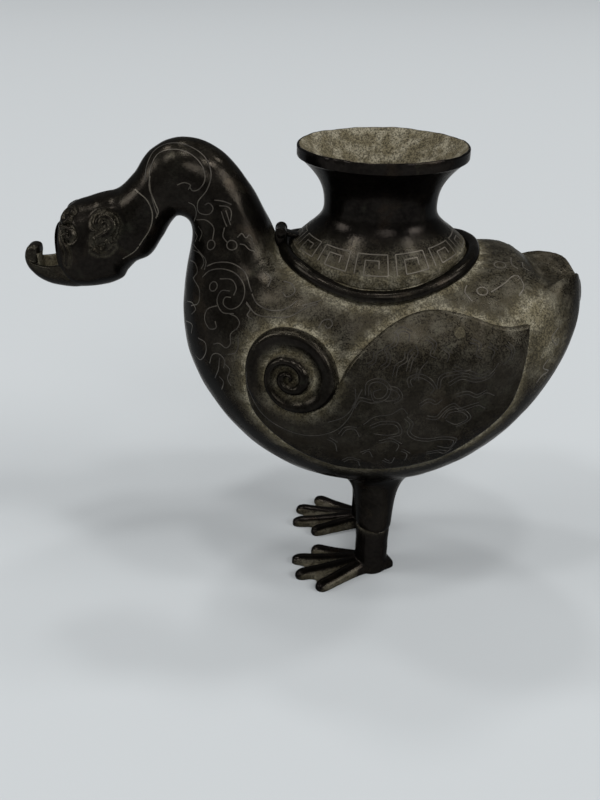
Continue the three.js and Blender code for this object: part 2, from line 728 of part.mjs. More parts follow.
function hingeLug(side) {
  const inner = LEAF_WIDTH / 2 + FIT;
  const range = [side * inner, side * (inner + LUG_THICKNESS)].sort((m, n) => m - n);
  const foot = pivotZ - PIVOT_RISE + COLLAR_PROUD + COLLAR_BEAD / 2 + SEAT - LUG_GRIP;
  const outline = new THREE.Shape();
  outline.moveTo(pivotX - LUG_RADIUS, foot);
  outline.lineTo(pivotX + LUG_RADIUS, foot);
  outline.lineTo(pivotX + LUG_RADIUS, pivotZ);
  outline.absarc(pivotX, pivotZ, LUG_RADIUS, 0, Math.PI);
  const hole = crossBar(PIN_RADIUS + FIT, range[0] - PAST, range[1] + PAST);
  return slab(outline, ...range).subtract(hole).subtract(collarTube(SEAT)).subtract(neckSeat);
}

function hingePin() {
  const half = LEAF_WIDTH / 2 + FIT + LUG_THICKNESS + SEAT;
  let made = crossBar(PIN_RADIUS, -half - PIN_HEAD / 2, half + PIN_HEAD / 2);
  [-1, 1].forEach((side) => {
    const ends = [side * half, side * (half + PIN_HEAD)].sort((m, n) => m - n);
    made = made.add(crossBar(PIN_RADIUS + FIT + PIN_HEAD_OVER, ...ends));
  });
  return made;
}

function hingeLeaf() {
  const outline = new THREE.Shape();
  outline.moveTo(pivotX, pivotZ - LEAF_THICKNESS / 2);
  outline.lineTo(pivotX + LEAF_LENGTH, pivotZ - LEAF_THICKNESS / 2 - LEAF_FALL);
  outline.lineTo(pivotX + LEAF_LENGTH, pivotZ + LEAF_THICKNESS / 2 - LEAF_FALL);
  outline.lineTo(pivotX, pivotZ + LEAF_THICKNESS / 2);
  const half = LEAF_WIDTH / 2;
  const strap = slab(outline, -half, half).add(crossBar(LUG_RADIUS - SEAT, -half, half));
  return strap.subtract(crossBar(PIN_RADIUS + FIT, -half - PAST, half + PAST)).subtract(trumpetRoom());
}

// Wings and wire: outlines in x and z, laid on a casting by cutting a thin shell of it, clear of the collar
const collarRoom = collarTube(SEAT);
const shellOver = (from, to, sides, low, high) =>
  casting(from, to, sides, -high)
    .subtract(casting(from, to, sides, -low, -PAST, PAST))
    .subtract(casting(from, to, sides, -low, SEAT))
    .subtract(collarRoom);
const flank = (outline, side) =>
  side < 0 ? slab(outline, -BODY_WIDTH, 0) : slab(outline, 0, BODY_WIDTH);

// A band of changing width along a line of points in x and z.
function bandOutline(points, width) {
  const edge = (side) =>
    points.map((p, i) => {
      const before = points[Math.max(i - 1, 0)];
      const after = points[Math.min(i + 1, points.length - 1)];
      const along = after.clone().sub(before).normalize();
      const half = (side * width(i / (points.length - 1))) / 2;
      return new THREE.Vector2(p.x - along.y * half, p.y + along.x * half);
    });
  return new THREE.Shape([...edge(1), ...edge(-1).reverse()]);
}

// Points of a spiral that turns from a start angle and closes from one radius to another.
function spiral(centre, startAngle, turn, radius, endRadius, steps) {
  return Array.from({ length: steps + 1 }, (_, i) => {
    const share = i / steps;
    const angle = startAngle + turn * share;
    const r = radius + (endRadius - radius) * share;
    return new THREE.Vector2(centre.x + r * Math.cos(angle), centre.y + r * Math.sin(angle));
  });
}

const wingHeight = backHeight(mouthX, collarRadius + COLLAR_BEAD / 2) + WING_RISE - LEG_HEIGHT;
const onWing = ([along, up]) => new THREE.Vector2(along * BODY_LENGTH, LEG_HEIGHT + up * wingHeight);
const onBody = (share) => new THREE.Vector2(...bodyPoint(share));
const onNeck = (share) => new THREE.Vector2(...neckPoint(share));
const curve = (points, steps) => new THREE.SplineCurve(points).getPoints(steps);
const wingLeaf = new THREE.Shape([
  ...curve(WING_TOP.map(onWing), WING_STEPS),
  ...curve(WING_BELOW.map(onWing), WING_STEPS),
]);
const bodyShellOver = (low, high) => shellOver(0, BODY_SEAM, BODY_SIDES, low, high);

// A round outline at a place on the wing.
function disc(share, radius) {
  const outline = new THREE.Shape();
  const centre = onWing(share);
  outline.absarc(centre.x, centre.y, radius, 0, 2 * Math.PI);
  return outline;
}

function wing(side) {
  const coil = spiral(
    onWing(SCROLL_CENTRE),
    THREE.MathUtils.degToRad(SCROLL_START),
    -SCROLL_TURNS * 2 * Math.PI,
    SCROLL_RADIUS - SCROLL_BAND / 2,
    SCROLL_BAND_END,
    SCROLL_STEPS,
  );
  const width = (share) => SCROLL_BAND + (SCROLL_BAND_END - SCROLL_BAND) * share;
  let plate = flank(wingLeaf, side).intersect(bodyShellOver(SEAT, WING_PROUD));
  const scroll = flank(bandOutline(coil, width), side).intersect(bodyShellOver(SEAT, SCROLL_PROUD));
  if (side < 0) {
    plate = plate.subtract(flank(disc(PLUG_CENTRE, PLUG_RADIUS + FIT), side));
  }
  return plate.add(scroll);
}

// A casting plug, set in the left wing.
const corePlug = () =>
  flank(disc(PLUG_CENTRE, PLUG_RADIUS), -1).intersect(bodyShellOver(SEAT, WING_PROUD + PLUG_PROUD));

// Wire along a line of points, on the shell that carries it.
function wire(points, side, shell) {
  const line = curve(points, WIRE_STEPS * points.length);
  return flank(bandOutline(line, () => WIRE_WIDTH), side).intersect(shell);
}

const neckWire = shellOver(BODY_SEAM, HEAD_SEAM, NECK_SIDES, SEAT, SEAT + WIRE_HEIGHT);
const bodyWire = bodyShellOver(SEAT, SEAT + WIRE_HEIGHT);
const wingWire = bodyShellOver(WING_PROUD + SEAT, WING_PROUD + SEAT + WIRE_HEIGHT);

place("body_shell", bodyShell(), BRONZE);
place("neck", bored(BODY_SEAM, HEAD_SEAM, HEAD_SEAM, NECK_WALL, BODY_WALL + FIT), BRONZE);
place("head", head(), BRONZE);
place("bill_spout", bill(), BRONZE);
place("collar_ring", collarTube(0).subtract(bodySeat).subtract(neckSeat), BRONZE);
place("mouth_trumpet", trumpet(), BRONZE);
place("mouth_fret", fret(), SILVER);
place("hinge_pin", hingePin(), BRONZE);
place("hinge_leaf", hingeLeaf(), BRONZE);
place("core_plug", corePlug(), BRONZE);
[-1, 1].forEach((side) => {
  const name = side < 0 ? "left" : "right";
  place(`${name}_hinge_lug`, hingeLug(side), BRONZE);
  place(`${name}_leg`, leg(side), BRONZE);
  place(`${name}_wing`, wing(side), BRONZE);
  place(`${name}_nape_band`, wire(NAPE_BAND.map(onNeck), side, neckWire), SILVER);
  place(`${name}_neck_scroll`, wire(NECK_SCROLL.map(onNeck), side, neckWire), SILVER);
  place(`${name}_breast_scroll`, wire(BREAST_SCROLL.map(onNeck), side, neckWire), SILVER);
  place(`${name}_wing_scroll`, wire(WING_SCROLL.map(onWing), side, wingWire), SILVER);
  place(`${name}_tail_scroll`, wire(TAIL_SCROLL.map(onBody), side, bodyWire), SILVER);
});

const box = new THREE.Box3().setFromObject(group);
group.position.x = -(box.min.x + box.max.x) / 2;

export default group;
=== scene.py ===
"""A duck-shaped water dropper: dark patinated bronze castings with silver wire hammered into them.

Shapes are worked out in millimetres, +Z up, with the duck facing -X and its left side at -Y, and a piece is
scaled to metres when it is finished.
"""

import json
import math

import bmesh
import bpy
import numpy as np
from mathutils import Matrix, Vector
from mathutils.bvhtree import BVHTree


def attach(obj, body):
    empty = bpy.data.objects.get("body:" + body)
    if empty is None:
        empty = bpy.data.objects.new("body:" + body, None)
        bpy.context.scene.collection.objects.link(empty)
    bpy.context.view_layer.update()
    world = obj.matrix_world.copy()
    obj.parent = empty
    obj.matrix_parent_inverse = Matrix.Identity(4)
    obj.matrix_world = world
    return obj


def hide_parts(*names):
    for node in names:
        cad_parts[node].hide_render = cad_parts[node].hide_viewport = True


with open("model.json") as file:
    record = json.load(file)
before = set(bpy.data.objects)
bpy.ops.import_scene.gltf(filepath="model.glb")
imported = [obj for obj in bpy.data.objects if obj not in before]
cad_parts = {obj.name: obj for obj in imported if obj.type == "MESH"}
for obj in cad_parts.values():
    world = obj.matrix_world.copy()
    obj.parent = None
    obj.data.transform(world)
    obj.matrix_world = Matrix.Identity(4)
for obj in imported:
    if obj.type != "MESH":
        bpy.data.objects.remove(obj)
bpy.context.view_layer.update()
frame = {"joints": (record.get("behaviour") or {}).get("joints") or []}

MM = 0.001
WELD = 1e-4  # points closer than this are one
UP, DOWN, ALONG, ACROSS = Vector((0, 0, 1)), Vector((0, 0, -1)), Vector((1, 0, 0)), Vector((0, 1, 0))
UPRIGHT = np.array(UP)
QUARTER = math.pi / 2
scene = bpy.context.scene

# Camera: where the photograph was taken from, as fitted to the feet and the rim
FOCAL = 900  # pixels of a frame 600 wide and 800 high
FRAME_HEIGHT = 800
SENSOR = 36
NEAREST = 10  # nothing nearer to the camera is drawn
EYE = (-1.0, -272.6, 203.6)
LOOK_DOWN = 27.8
ROLL = 0.7

camera = bpy.data.cameras.new("camera")
camera.sensor_width = SENSOR
camera.lens = SENSOR * FOCAL / FRAME_HEIGHT
camera.clip_start = NEAREST * MM
eye = bpy.data.objects.new("camera", camera)
scene.collection.objects.link(eye)
eye.matrix_world = (
    Matrix.Translation(Vector(EYE) * MM)
    @ Matrix.Rotation(math.radians(90 - LOOK_DOWN), 4, "X")
    @ Matrix.Rotation(math.radians(ROLL), 4, "Z")
)
scene.camera = eye

# Sizes, as in the part's source, but with legs a little thicker and further forward
BREAST = -38.709  # front of the body, from the middle of the part
BODY_LENGTH = 126.5
BODY_HEIGHT = 81
BODY_WIDTH = 81
BODY_WALL = 3
LEG_HEIGHT = 36
BACK_ROUNDNESS = 2.45
BELLY_ROUNDNESS = 2.1
NECK_ROUNDNESS = 2.0
BACK_TOP = LEG_HEIGHT + BODY_HEIGHT
NECK_REACH = 48.5
NECK_RISE = 32.3
NECK_WIDTH = 21.4
NECK_WALL = 2.4
HEAD_LENGTH = 19.5
HEAD_HEIGHT = 31
HEAD_WIDTH = 25.5
HEAD_WALL = 2.6
SPOUT_HOLE_RADIUS = 2.4
BILL_WALL = 1.8
BILL_DEPTH = 5
RIM_RADIUS = 25.8
RIM_BAND = 3.4
RIM_STEP = 0.6
RIM_TOP = BACK_TOP + 29.5
THROAT_RADIUS = 17.3
THROAT_RISE = 11.5
THROAT = BACK_TOP + THROAT_RISE
FOOT_RADIUS = 26.8
FOOT_TOP = BACK_TOP + 1.6
TRUMPET_WALL = 2
FILLING_LEDGE = 2.8
SADDLE_BEND = 1.5
COLLAR_BEAD = 4.2
COLLAR_GAP = 0.5
COLLAR_PROUD = 0.7
COLLAR_LAP = 0.26
LEG_X = 25.0
LEG_SPREAD = 26
SEAM_HEIGHT = 18.5
SEAM_RADIUS = 5.9
SHANK_RADIUS = 5.75
SEAM_FALL = 0.13  # of the leg's seam, towards the tail
TOES = [(21.0, 7.8), (28.2, 1.5), (26.8, -7.6), (19.3, -14.6)]  # ahead of the shank, and aside
HEEL_LENGTH = 8
SEAT = 0.3

# The castings' stations from the tail to the face: back along and up, belly along and up, half width
BODY = [
    (0.993, 0.85, 1.0, 0.75, 0.062),
    (0.969, 0.9, 0.986, 0.625, 0.148),
    (0.918, 0.935, 0.94, 0.455, 0.247),
    (0.855, 0.915, 0.862, 0.29, 0.34),
    (0.77, 0.955, 0.757, 0.14, 0.42),
    (0.66, 0.985, 0.635, 0.04, 0.475),
    (0.527, 1.0, 0.505, 0.0, 0.5),
    (0.402, 0.99, 0.371, 0.018, 0.488),
    (0.309, 0.975, 0.234, 0.1, 0.45),
    (0.27, 0.967, 0.125, 0.236, 0.389),
    (0.252, 0.968, 0.049, 0.398, 0.333),
    (0.24, 0.98, 0.0095, 0.545, 0.284),
]
NECK = [
    (0.022, 0.105, 0.63, -0.77, 0.93),
    (0.08, 0.3, 0.615, -0.38, 0.75),
    (0.175, 0.56, 0.55, 0.16, 0.57),
    (0.36, 0.885, 0.578, 0.25, 0.51),
    (0.6, 1.0, 0.633, 0.275, 0.5),
    (0.79, 0.88, 0.68, 0.21, 0.495),
    (0.905, 0.66, 0.74, 0.065, 0.495),
    (1.0, 0.525, 0.825, -0.11, 0.51),
]
HEAD = [
    (0.23, -0.06, -0.2, -0.74, 0.46),
    (0.49, -0.12, 0.06, -0.89, 0.5),
    (0.74, -0.18, 0.38, -0.97, 0.5),
    (0.92, -0.28, 0.7, -1.0, 0.47),
    (1.0, -0.42, 0.92, -0.95, 0.38),
]
BODY_SEAM = len(BODY) - 1
HEAD_SEAM = BODY_SEAM + len(NECK)
FACE = HEAD_SEAM + len(HEAD)
FINE = 48  # samples to each station of a casting's back and belly lines
SIDES = 240  # points round a casting
TAIL_RINGS, BODY_RINGS, NECK_RINGS, HEAD_RINGS, FACE_RINGS = 84, 100, 130, 120, 44
BORE_RINGS, NECK_BORE_RINGS = 30, 40


def spline(points, steps):
    """Points on a smooth line through the given ones, so many steps to each gap."""
    p = np.asarray(points, float)
    p = np.vstack([2 * p[0] - p[1], p, 2 * p[-1] - p[-2]])
    gap = np.maximum(np.linalg.norm(np.diff(p, axis=0), axis=1), WELD) ** 0.5
    t = np.linspace(0, 1, steps, endpoint=False)[:, None]
    rows = []
    for i in range(1, len(p) - 2):
        a, b, c, d = p[i - 1 : i + 3]
        before, here, after = gap[i - 1 : i + 2]
        leave = here * ((b - a) / before - (c - a) / (before + here) + (c - b) / here)
        arrive = here * ((c - b) / here - (d - b) / (here + after) + (d - c) / after)
        square = 3 * (c - b) - 2 * leave - arrive
        cube = 2 * (b - c) + leave + arrive
        rows.append(b + t * leave + t**2 * square + t**3 * cube)
    return np.vstack(rows + [p[-2:-1]])


def bezier(points, steps):
    """Points on a curve from the first point to the last, drawn towards the two between."""
    a, b, c, d = (np.asarray(p, float) for p in points)
    t = np.linspace(0, 1, steps + 1)[:, None]
    return a * (1 - t) ** 3 + 3 * b * t * (1 - t) ** 2 + 3 * c * t**2 * (1 - t) + d * t**3


def smooth(t):
    """From 0 to 1 with a soft start and end."""
    t = np.clip(t, 0, 1)
    return t * t * (3 - 2 * t)


def read(line, x):
    """The height of a drawn line at a place along it."""
    return np.interp(x, line[:, 0], line[:, 1])


def ripple(angle, waves):
    """Waves round a ring, each given by its height, how often it comes and where it starts."""
    return sum(height * math.sin(count * angle + start) for height, count, start in waves)


def station_table():
    """Back line with the half width, and belly line with the roundness of the back, at each station."""
    rows = []
    for along, up, under, low, half in BODY:
        back = (BREAST + along * BODY_LENGTH, half * BODY_WIDTH, LEG_HEIGHT + up * BODY_HEIGHT)
        rows.append(back + (BREAST + under * BODY_LENGTH, BACK_ROUNDNESS, LEG_HEIGHT + low * BODY_HEIGHT))
    for table, reach, rise, width in (
        (NECK, NECK_REACH, NECK_RISE, NECK_WIDTH),
        (HEAD, HEAD_LENGTH, HEAD_HEIGHT, HEAD_WIDTH),
    ):
        x, _, z = rows[-1][:3]
        for along, up, under, low, half in table:
            back = (x - along * reach, half * width, z + up * rise)
            rows.append(back + (x - under * reach, NECK_ROUNDNESS, z + low * rise))
    return np.array(rows)


STATIONS = station_table()
BACK_LINE = spline(STATIONS[:, :3], FINE)
BELLY_LINE = spline(STATIONS[:, 3:], FINE)
NECK_ROOT = STATIONS[BODY_SEAM, :3]
FACE_X, _, CHIN_Z = STATIONS[FACE, 3:]
COLLAR_RADIUS = FOOT_RADIUS + COLLAR_GAP + COLLAR_BEAD / 2
COLLAR_FRONT = NECK_ROOT[0] - COLLAR_LAP
MOUTH_X = COLLAR_FRONT + COLLAR_BEAD / 2 + COLLAR_RADIUS


def sampled(line, station):
    at = np.clip(np.asarray(station, float) * FINE, 0, len(line) - 1)
    i = np.minimum(at.astype(int), len(line) - 2)
    f = (at - i)[..., None]
    return line[i] * (1 - f) + line[i + 1] * f


def casting(station, turn, inset=0.0):
    """Points of the castings' skin at a station and a turn from the back line, drawn in by an inset."""
    back, belly = sampled(BACK_LINE, station), sampled(BELLY_LINE, station)
    c, s = np.cos(turn), np.sin(turn)
    power = 2 / np.where(c > 0, belly[..., 1], BELLY_ROUNDNESS)
    up = np.sign(c) * np.abs(c) ** power
    out = np.sign(s) * np.abs(s) ** power
    rise = (back - belly)[..., [0, 2]] / 2
    length = np.linalg.norm(rise, axis=-1, keepdims=True)
    rise = rise * (1 - np.asarray(inset)[..., None] / length)
    middle = (back + belly)[..., [0, 2]] / 2
    xz = middle + rise * up[..., None]
    y = (back[..., 1] - inset) * out
    return np.stack([xz[..., 0], y, xz[..., 1]], -1)


def rings(stations, inset):
    turn = np.linspace(0, math.tau, SIDES + 1)[None, :]
    stations = np.asarray(stations, float)[:, None]
    return casting(stations + 0 * turn, turn + 0 * stations, inset + 0 * turn + 0 * stations)


WAVES = [  # hand-finished unevenness: direction of each wave in turns to the millimetre, and its height
    ((0.061, 0.043, 0.02), 0.05),
    ((-0.03, 0.07, 0.055), 0.045),
    ((0.1, -0.05, 0.07), 0.03),
    ((0.02, 0.12, -0.1), 0.025),
    ((0.17, 0.06, 0.13), 0.015),
]
WAVE_SHIFT = 7  # from one wave's start to the next one's


def uneven(points):
    """Moves points out from the middle of their ring by slow waves."""
    away = points - points.mean(axis=1, keepdims=True)
    away /= np.maximum(np.linalg.norm(away, axis=-1, keepdims=True), 1.0)
    wave = 0
    for number, (direction, height) in enumerate(WAVES):
        wave = wave + height * np.sin(math.tau * (points @ np.array(direction)) + WAVE_SHIFT * number)
    return points + away * wave[..., None]


def hoop(middle, first, second, sides):
    """A ring of points about a middle, spread one way and another."""
    turn = np.linspace(0, math.tau, sides + 1)[:, None]
    return np.asarray(middle) + np.cos(turn) * np.asarray(first) + np.sin(turn) * np.asarray(second)


def drawn_in(ring, share, push=(0, 0, 0)):
    """A ring drawn towards its middle, and pushed along."""
    middle = ring.mean(axis=0)
    return middle + (ring - middle) * share + np.asarray(push)


def domed(ring, push, steps=7):
    """Rings from a ring to a point that stands out by a push, as a round end."""
    angles = np.linspace(0, QUARTER, steps)[1:]
    return [drawn_in(ring, math.cos(a), np.asarray(push) * math.sin(a)) for a in angles]


# Working on meshes


def loft(all_rings, bm=None):
    """A skin over rings of as many points. A ring drawn to a point closes it, and so does a ring that ends
    where it began."""
    all_rings = np.asarray(all_rings, float)
    bm = bm or bmesh.new()
    rows, columns = all_rings.shape[:2]
    made = bmesh.ops.create_grid(bm, x_segments=columns - 1, y_segments=rows - 1, size=0.5)["verts"]
    for vert, point in zip(made, all_rings.reshape(-1, 3)):
        vert.co = point
    bmesh.ops.remove_doubles(bm, verts=made, dist=WELD)
    return bm


def outward(bm):
    bmesh.ops.recalc_face_normals(bm, faces=bm.faces[:])
    return bm


def closed_loft(all_rings):
    """A loft whose two ends are drawn to points."""
    return outward(loft([drawn_in(all_rings[0], 0)] + list(all_rings) + [drawn_in(all_rings[-1], 0)]))


def turned(profile, x=0.0, y=0.0, steps=32, closed=False):
    """A shape turned on an upright axis from a profile of radius and height."""
    bm = bmesh.new()
    verts = [bm.verts.new((x + radius, y, height)) for radius, height in profile]
    pairs = list(zip(verts, verts[1:])) + ([(verts[-1], verts[0])] if closed else [])
    edges = [bm.edges.new(pair) for pair in pairs]
    bmesh.ops.spin(
        bm, geom=verts + edges, cent=(x, y, 0), axis=(0, 0, 1), angle=math.tau, steps=steps, use_merge=True
    )
    bmesh.ops.remove_doubles(bm, verts=bm.verts[:], dist=WELD)
    return outward(bm)


def rod(radius, low, high, *place):
    """A round bar on an upright axis."""
    return turned([(0, low), (radius, low), (radius, high), (0, high)], *place)


def placed(bm, turn, place):
    """Turns a mesh about the origin and takes it to its place."""
    bmesh.ops.rotate(bm, cent=(0, 0, 0), matrix=turn, verts=bm.verts[:])
    bmesh.ops.translate(bm, vec=place, verts=bm.verts[:])
    return outward(bm)


def slab(outline, from_y, to_y, ease):
    """A plate with rounded edges whose outline is drawn in x and z."""
    bm = bmesh.new()
    face = bm.faces.new([bm.verts.new((x, from_y, z)) for x, z in outline])
    grown = bmesh.ops.extrude_face_region(bm, geom=[face], use_keep_orig=True)
    moved = [g for g in grown["geom"] if isinstance(g, bmesh.types.BMVert)]
    bmesh.ops.translate(bm, vec=(0, to_y - from_y, 0), verts=moved)
    outward(bm)
    rims = [e for e in bm.edges if abs(e.verts[0].co.y - e.verts[1].co.y) < WELD]
    bmesh.ops.bevel(
        bm, geom=rims, offset=ease, offset_type="OFFSET", segments=3, profile=0.5, affect="EDGES", material=-1
    )
    return outward(bm)


def as_object(bm, name="blank"):
    mesh = bpy.data.meshes.new(name)
    bm.to_mesh(mesh)
    obj = bpy.data.objects.new(name, mesh)
    scene.collection.objects.link(obj)
    return obj


def changed(bm, *changes):
    """Puts a mesh through modifiers, each a kind and its settings, and gives the result."""
    obj = as_object(bm)
    for kind, settings in changes:
        modifier = obj.modifiers.new(kind, kind)
        for key, value in settings.items():
            setattr(modifier, key, value)
    bpy.context.view_layer.update()
    bm.clear()
    bm.from_object(obj, bpy.context.evaluated_depsgraph_get())
    bpy.data.objects.remove(obj)
    return bm


def joined(bm, tool, operation):
    """Cuts one closed mesh from another, or adds it."""
    obj = as_object(tool)
    tool.free()
    changed(bm, ("BOOLEAN", {"operation": operation, "solver": "MANIFOLD", "object": obj}))
    bpy.data.objects.remove(obj)
    return bm


def added(bm, other):
    """Puts another mesh beside what a mesh holds."""
    obj = as_object(other)
    other.free()
    bm.from_mesh(obj.data)
    bpy.data.objects.remove(obj)
    return bm


def fused(bm, cell, rounds):
    """Runs what a mesh holds together in one skin with softened joins."""
    return changed(
        bm,
        ("REMESH", {"mode": "VOXEL", "voxel_size": cell}),
        ("SMOOTH", {"factor": 0.5, "iterations": rounds}),
    )


def mirrored(bm):
    """The same shape on the duck's right side."""
    made = bm.copy()
    bmesh.ops.scale(made, vec=(1, -1, 1), verts=made.verts[:])
    bmesh.ops.reverse_faces(made, faces=made.faces[:])
    return made


def from_left(tree, x, z):
    """Where a level line from the duck's left first meets a piece, and the way that the piece faces there."""
    place, facing, _, _ = tree.ray_cast(Vector((x, -BODY_WIDTH, z)), ACROSS)
    return place, facing


def nearest_on(line, points):
    """The nearest place on a line to each point, and how far it is."""
    nearest = np.zeros_like(points)
    best = np.full(len(points), np.inf)
    for a, b in zip(line, line[1:]):
        run = b - a
        share = np.clip((points - a) @ run / max(run @ run, WELD), 0, 1)
        place = a + share[:, None] * run
        away = np.linalg.norm(points - place, axis=1)
        closer = away < best
        best[closer] = away[closer]
        nearest[closer] = place[closer]
    return nearest, best


STEEP_SHARE = 0.2  # of a pale film, part earth and part painted light from above, left on an upright face


def dust_and_top_light(facing):
    """The share of a pale film that stays on a face: all on a level one, a little on an upright one. The film
    is part earth and part painted light, paler on faces that look up to the light.
    """
    return STEEP_SHARE + (1 - STEEP_SHARE) * max(0.0, facing.z)


def mark_dust_and_light(bm, amount, film=0.0):
    """Marks how much pale earth and painted light lies at each point. A film lies all over, the more where a
    face looks up; it is part earth and part painted light from above.
    """
    layer = bm.verts.layers.float.get("dust_and_light") or bm.verts.layers.float.new("dust_and_light")
    bm.normal_update()
    for vert in bm.verts:
        film_and_top_light = film * dust_and_top_light(vert.normal)
        vert[layer] = min(1.0, max(vert[layer], amount(vert.co, vert.normal), film_and_top_light))
    return bm


def beside(tree, reach, point):
    """How near a point is to another piece: 1 at it, fading over a reach."""
    return math.exp(-tree.find_nearest(point)[3] / reach)


# Materials
CLOUDS = {  # patterns in the patina: size in millimetres, and detail
    "slow": (16, 4.0),
    "patches": (9, 4.0),
    "spots": (4.5, 4.0),
    "grain": (1.0, 5.0),  # the real grain and pits are finer, and are drawn this coarse so that they show
    "grit": (0.8, 4.0),
    "pits": (0.45, 3.0),
}
SKIN = [  # what lies over the darkest brown: pattern, where it starts and where it is full, share, colour
    ("slow", 0.38, 0.62, 1.0, "#1c1917"),  # a slow change to a paler brown
    ("patches", 0.55, 0.72, 0.4, "#2b221a"),  # warm metal rubbed through
    ("spots", 0.6, 0.74, 0.35, "#2a2c24"),  # green
    ("grain", 0.35, 0.7, 0.15, "#38342f"),  # grain of the casting
    ("pits", 0.6, 0.7, 0.5, "#0a0807"),  # pin-prick pits
]
TARNISH_SIZE = 3
SOFT = {"interpolation_type": "SMOOTHSTEP"}
COLOURS = {"data_type": "RGBA"}
NUMBERS = {"data_type": "FLOAT"}


def colour(text):
    """A linear colour from sRGB hex digits."""
    parts = [int(text[i : i + 2], 16) / 255 for i in (1, 3, 5)]
    return [c / 12.92 if c <= 0.04045 else ((c + 0.055) / 1.055) ** 2.4 for c in parts] + [1.0]


def node(tree, kind, output=None, settings=None, **inputs):
    """Adds a node, with settings and with a value or a link for each named or numbered input, and gives the
    output that is asked for."""
    made = tree.nodes.new(kind)
    for key, value in (settings or {}).items():
        setattr(made, key, value)
    for key, value in inputs.items():
        socket = made.inputs[int(key[1:])] if key[0] == "_" else made.inputs[key.replace("_", " ")]
        if isinstance(value, bpy.types.NodeSocket):
            tree.links.new(value, socket)
        else:
            socket.default_value = value
    return made if output is None else made.outputs[output]


def per_mm(size):
    """The scale of a pattern whose features are so many millimetres across."""
    return 1 / (size * MM)


def blank_material(name):
    made = bpy.data.materials.new(name)
    made.use_nodes = True
    made.node_tree.nodes.clear()
    return made, made.node_tree


def patina(name):
    """Old cast bronze under a dark brown patina. The eye gets a near-black brown with rubbed-through warm and
    green clouds, pin-prick pits, a waxy gloss on the skin and dull ochre earth out of a cloth's reach. The
    same ochre is also laid as painted light on faces that look up, on the rump and in the bill's trough."""
    made, tree = blank_material(name)
    place = node(tree, "ShaderNodeTexCoord", "Object")
    cloud = {}
    for pattern, (size, detail) in CLOUDS.items():
        cloud[pattern] = node(
            tree, "ShaderNodeTexNoise", "Fac",
            Vector=place, Scale=per_mm(size), Detail=detail, Roughness=0.55,
        )
    skin = colour("#0f0d0c")
    for pattern, start, full, share, tint in SKIN:
        over = node(
            tree, "ShaderNodeMapRange", 0, SOFT,
            Value=cloud[pattern], From_Min=start, From_Max=full, To_Max=share,
        )
        skin = node(tree, "ShaderNodeMix", 2, COLOURS, _0=over, _6=skin, _7=colour(tint))

    # Earth and painted light: as much as the piece's own marks say, broken up by grit
    marked = node(tree, "ShaderNodeAttribute", "Fac", {"attribute_name": "dust_and_light"})
    grit = node(tree, "ShaderNodeMix", 0, NUMBERS, _0=0.6, _2=cloud["grit"], _3=cloud["pits"])
    grit = node(
        tree, "ShaderNodeMapRange", 0, SOFT, Value=grit, From_Min=0.36, From_Max=0.64, To_Min=0.3, To_Max=1.4
    )
    laid = node(tree, "ShaderNodeMath", 0, {"operation": "MULTIPLY"}, _0=marked, _1=grit)
    laid = node(tree, "ShaderNodeClamp", 0, Value=laid, Max=0.9)
    pale = node(tree, "ShaderNodeMapRange", 0, SOFT, Value=cloud["spots"], From_Min=0.4, From_Max=0.65)
    earth_and_light = node(tree, "ShaderNodeMix", 2, COLOURS, _0=pale, _6=colour("#776f59"), _7=colour("#a39c87"))
    face = node(tree, "ShaderNodeMix", 2, COLOURS, _0=laid, _6=skin, _7=earth_and_light)

    # Gloss on bare metal, which earth dulls
    gloss = node(
        tree, "ShaderNodeMapRange", 0,
        Value=cloud["patches"], From_Min=0.3, From_Max=0.7, To_Min=0.14, To_Max=0.3,
    )
    covered = node(tree, "ShaderNodeMapRange", 0, SOFT, Value=laid, From_Min=0.0, From_Max=0.4)
    rough = node(tree, "ShaderNodeMix", 0, NUMBERS, _0=covered, _2=gloss, _3=0.8)
    bare = node(tree, "ShaderNodeMapRange", 0, Value=laid, To_Min=0.8, To_Max=0.0)
    height = node(tree, "ShaderNodeMix", 0, NUMBERS, _0=0.37, _2=cloud["grain"], _3=cloud["pits"])
    bump = node(tree, "ShaderNodeBump", 0, Strength=0.8, Distance=0.0855 * MM, Height=height)
    shader = node(
        tree, "ShaderNodeBsdfPrincipled", 0,
        Base_Color=face, Roughness=rough, Metallic=bare, Normal=bump,
        Specular_Tint=colour("#8c8883"), Specular_IOR_Level=0.2,
    )
    node(tree, "ShaderNodeOutputMaterial", Surface=shader)
    return made


def silver(name):
    """Tarnished silver wire, hammered flat. The eye gets thin grey lines, pale where rubbed or else brown."""
    made, tree = blank_material(name)
    place = node(tree, "ShaderNodeTexCoord", "Object")
    cloud = node(tree, "ShaderNodeTexNoise", "Fac", Vector=place, Scale=per_mm(TARNISH_SIZE), Detail=4.0)
    marked = node(tree, "ShaderNodeAttribute", "Fac", {"attribute_name": "tarnish"})
    share = node(tree, "ShaderNodeMath", 0, {"operation": "ADD"}, _0=cloud, _1=marked)
    share = node(tree, "ShaderNodeMapRange", 0, Value=share, From_Min=0.35, From_Max=1.25)
    tint = node(tree, "ShaderNodeMix", 2, COLOURS, _0=share, _6=colour("#736c60"), _7=colour("#28241f"))
    rough = node(tree, "ShaderNodeMapRange", 0, Value=cloud, To_Min=0.35, To_Max=0.6)
    shader = node(tree, "ShaderNodeBsdfPrincipled", 0, Base_Color=tint, Roughness=rough, Metallic=0.5)
    node(tree, "ShaderNodeOutputMaterial", Surface=shader)
    return made


def floor_paint(name):
    """Matt paint. The eye gets a plain pale grey."""
    made, tree = blank_material(name)
    shader = node(tree, "ShaderNodeBsdfPrincipled", 0, Base_Color=colour("#c4c8ca"), Roughness=0.9)
    node(tree, "ShaderNodeOutputMaterial", Surface=shader)
    return made


BRONZE = patina("patinated_bronze")
SILVER = silver("tarnished_silver")
SHARP = 40  # degrees between faces that show an edge


